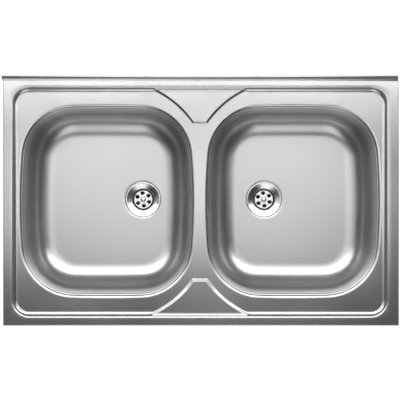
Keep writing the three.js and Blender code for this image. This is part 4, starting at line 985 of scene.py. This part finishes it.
def wastes_and_pipes():
    """Everything below the bowls, side by side, then the trap and the way out."""
    middle = np.array([middle_of("trap_tee")[0], DRAIN["left"][1], middle_of("left_arm_nut")[2]])
    outlet = middle + (0, 50 * MM, -OUTLET_DROP)
    for side, axis, face in (("left", "+x", low_of("trap_tee")[0]), ("right", "-x", high_of("trap_tee")[0])):
        strainer(side)
        strainer_screw(side)
        sound_pad(side)
        waste_body(side)
        waste_arm(side)
        rubber_ring(f"{side}_upper_gasket", [(27.3, -7.7), (32.4, -7.7), (32.4, -3), (27.3, -6.5)],
                    FLOOR_AT[side], f"{side}_upper_seal", radius=0.25)
        rubber_ring(f"{side}_lower_gasket", [(27, -11.6), (35, -11.6), (35, -9.1), (27, -9.1)],
                    FLOOR_AT[side], f"{side}_lower_seal")
        union(f"{side}_waste", (*DRAIN[side], low_of(f"{side}_waste_body")[2]), "+z")
        union(f"{side}_arm", (face, *middle[1:]), axis)
    union("trap_inlet", middle - (0, 0, 40.3 * MM), "-z")
    union("outlet", outlet, "-y")
    trap_tee(middle)
    trap_body(middle)
    trap_cup(middle)
    outlet_pipe(outlet)
    rubber_ring("cup_gasket", [(30, -132.8), (33, -132.8), (33, -130.8), (30, -130.8)], middle, "cup_seal",
                body="cup_thread")


wastes_and_pipes()
for corner in ("front_left", "rear_left", "front_right", "rear_right"):
    bracket(corner)

# ---------------------------------------------------------------- floor, lamps and world
FLOOR_LEVEL, FLOOR_REACH, FLOOR_GLOW = -0.85, 9, 0.85
floor_mesh = bpy.data.meshes.new("floor")
floor_mesh.from_pydata([(x * FLOOR_REACH, y * FLOOR_REACH, FLOOR_LEVEL)
                        for x, y in ((-1, -1), (1, -1), (1, 1), (-1, 1))], [], [(0, 1, 2, 3)])
put("floor", floor_mesh)


def white_floor():
    """White ground: it catches the sink's shadow, glows for the camera, for gloss and through glass only, and
    is clear from below."""
    material, surface = shader("white_floor", (0.9, 0.9, 0.9), 0, 0.9)
    nodes, links = material.node_tree.nodes, material.node_tree.links
    ray = nodes.new("ShaderNodeLightPath")
    seen = ray.outputs["Is Camera Ray"]
    for other in ("Is Glossy Ray", "Is Transmission Ray"):
        either = nodes.new("ShaderNodeMath")
        either.operation = "MAXIMUM"
        links.new(seen, either.inputs[0])
        links.new(ray.outputs[other], either.inputs[1])
        seen = either.outputs[0]
    glow = nodes.new("ShaderNodeMath")
    glow.operation = "MULTIPLY"
    glow.inputs[1].default_value = FLOOR_GLOW
    surface.inputs["Emission Color"].default_value = (1, 1, 1, 1)
    links.new(seen, glow.inputs[0])
    links.new(glow.outputs[0], surface.inputs["Emission Strength"])
    clear = nodes.new("ShaderNodeBsdfTransparent")
    geometry = nodes.new("ShaderNodeNewGeometry")
    mix = nodes.new("ShaderNodeMixShader")
    links.new(geometry.outputs["Backfacing"], mix.inputs["Fac"])
    links.new(surface.outputs["BSDF"], mix.inputs[1])
    links.new(clear.outputs["BSDF"], mix.inputs[2])
    links.new(mix.outputs["Shader"], nodes["Material Output"].inputs["Surface"])
    return material


floor_mesh.materials.append(white_floor())
LAMP_HEIGHT = 1.25


def dim_room(walls, ceiling, low, high):
    """A world that is as bright as pale walls near the horizon and dim overhead. Its brightness falls between
    two heights of the line of sight, which run from 0 at the horizon to 1 straight up."""
    world = bpy.data.worlds.new("studio")
    bpy.context.scene.world = world
    world.use_nodes = True
    nodes, links = world.node_tree.nodes, world.node_tree.links
    sight = nodes.new("ShaderNodeTexCoord")
    parts = nodes.new("ShaderNodeSeparateXYZ")
    fall = nodes.new("ShaderNodeMapRange")
    fall.interpolation_type = "SMOOTHSTEP"
    for socket, value in (("From Min", low), ("From Max", high), ("To Min", walls), ("To Max", ceiling)):
        fall.inputs[socket].default_value = value
    links.new(sight.outputs["Generated"], parts.inputs["Vector"])
    links.new(parts.outputs["Z"], fall.inputs["Value"])
    links.new(fall.outputs["Result"], nodes["Background"].inputs["Strength"])
    nodes["Background"].inputs["Color"].default_value = (1, 1, 1, 1)


dim_room(walls=0.2, ceiling=0.03, low=0.2, high=0.5)


def softbox(name, left, right, front, back, radiance):
    """A flat rectangular lamp over a stretch of the sink, of even brightness, that the camera doesn't see."""
    lamp = bpy.data.lights.new(name, "AREA")
    lamp.shape = "RECTANGLE"
    lamp.size, lamp.size_y = right - left, back - front
    lamp.energy = radiance * np.pi * lamp.size * lamp.size_y
    box = put(name, lamp)
    box.location = ((left + right) / 2, (front + back) / 2, LAMP_HEIGHT)
    box.visible_camera = False


softbox("near", -0.45, 0.45, -0.12, 0.18, 1.4)
softbox("near_left", -1.2, -0.45, -0.12, 0.18, 0.75)
softbox("rear", -1.2, 1.2, 0.35, 1.3, 3.7)
softbox("front", -0.45, 0.45, -2.4, -0.6, 1.3)

bpy.context.scene.view_settings.view_transform = "Standard"
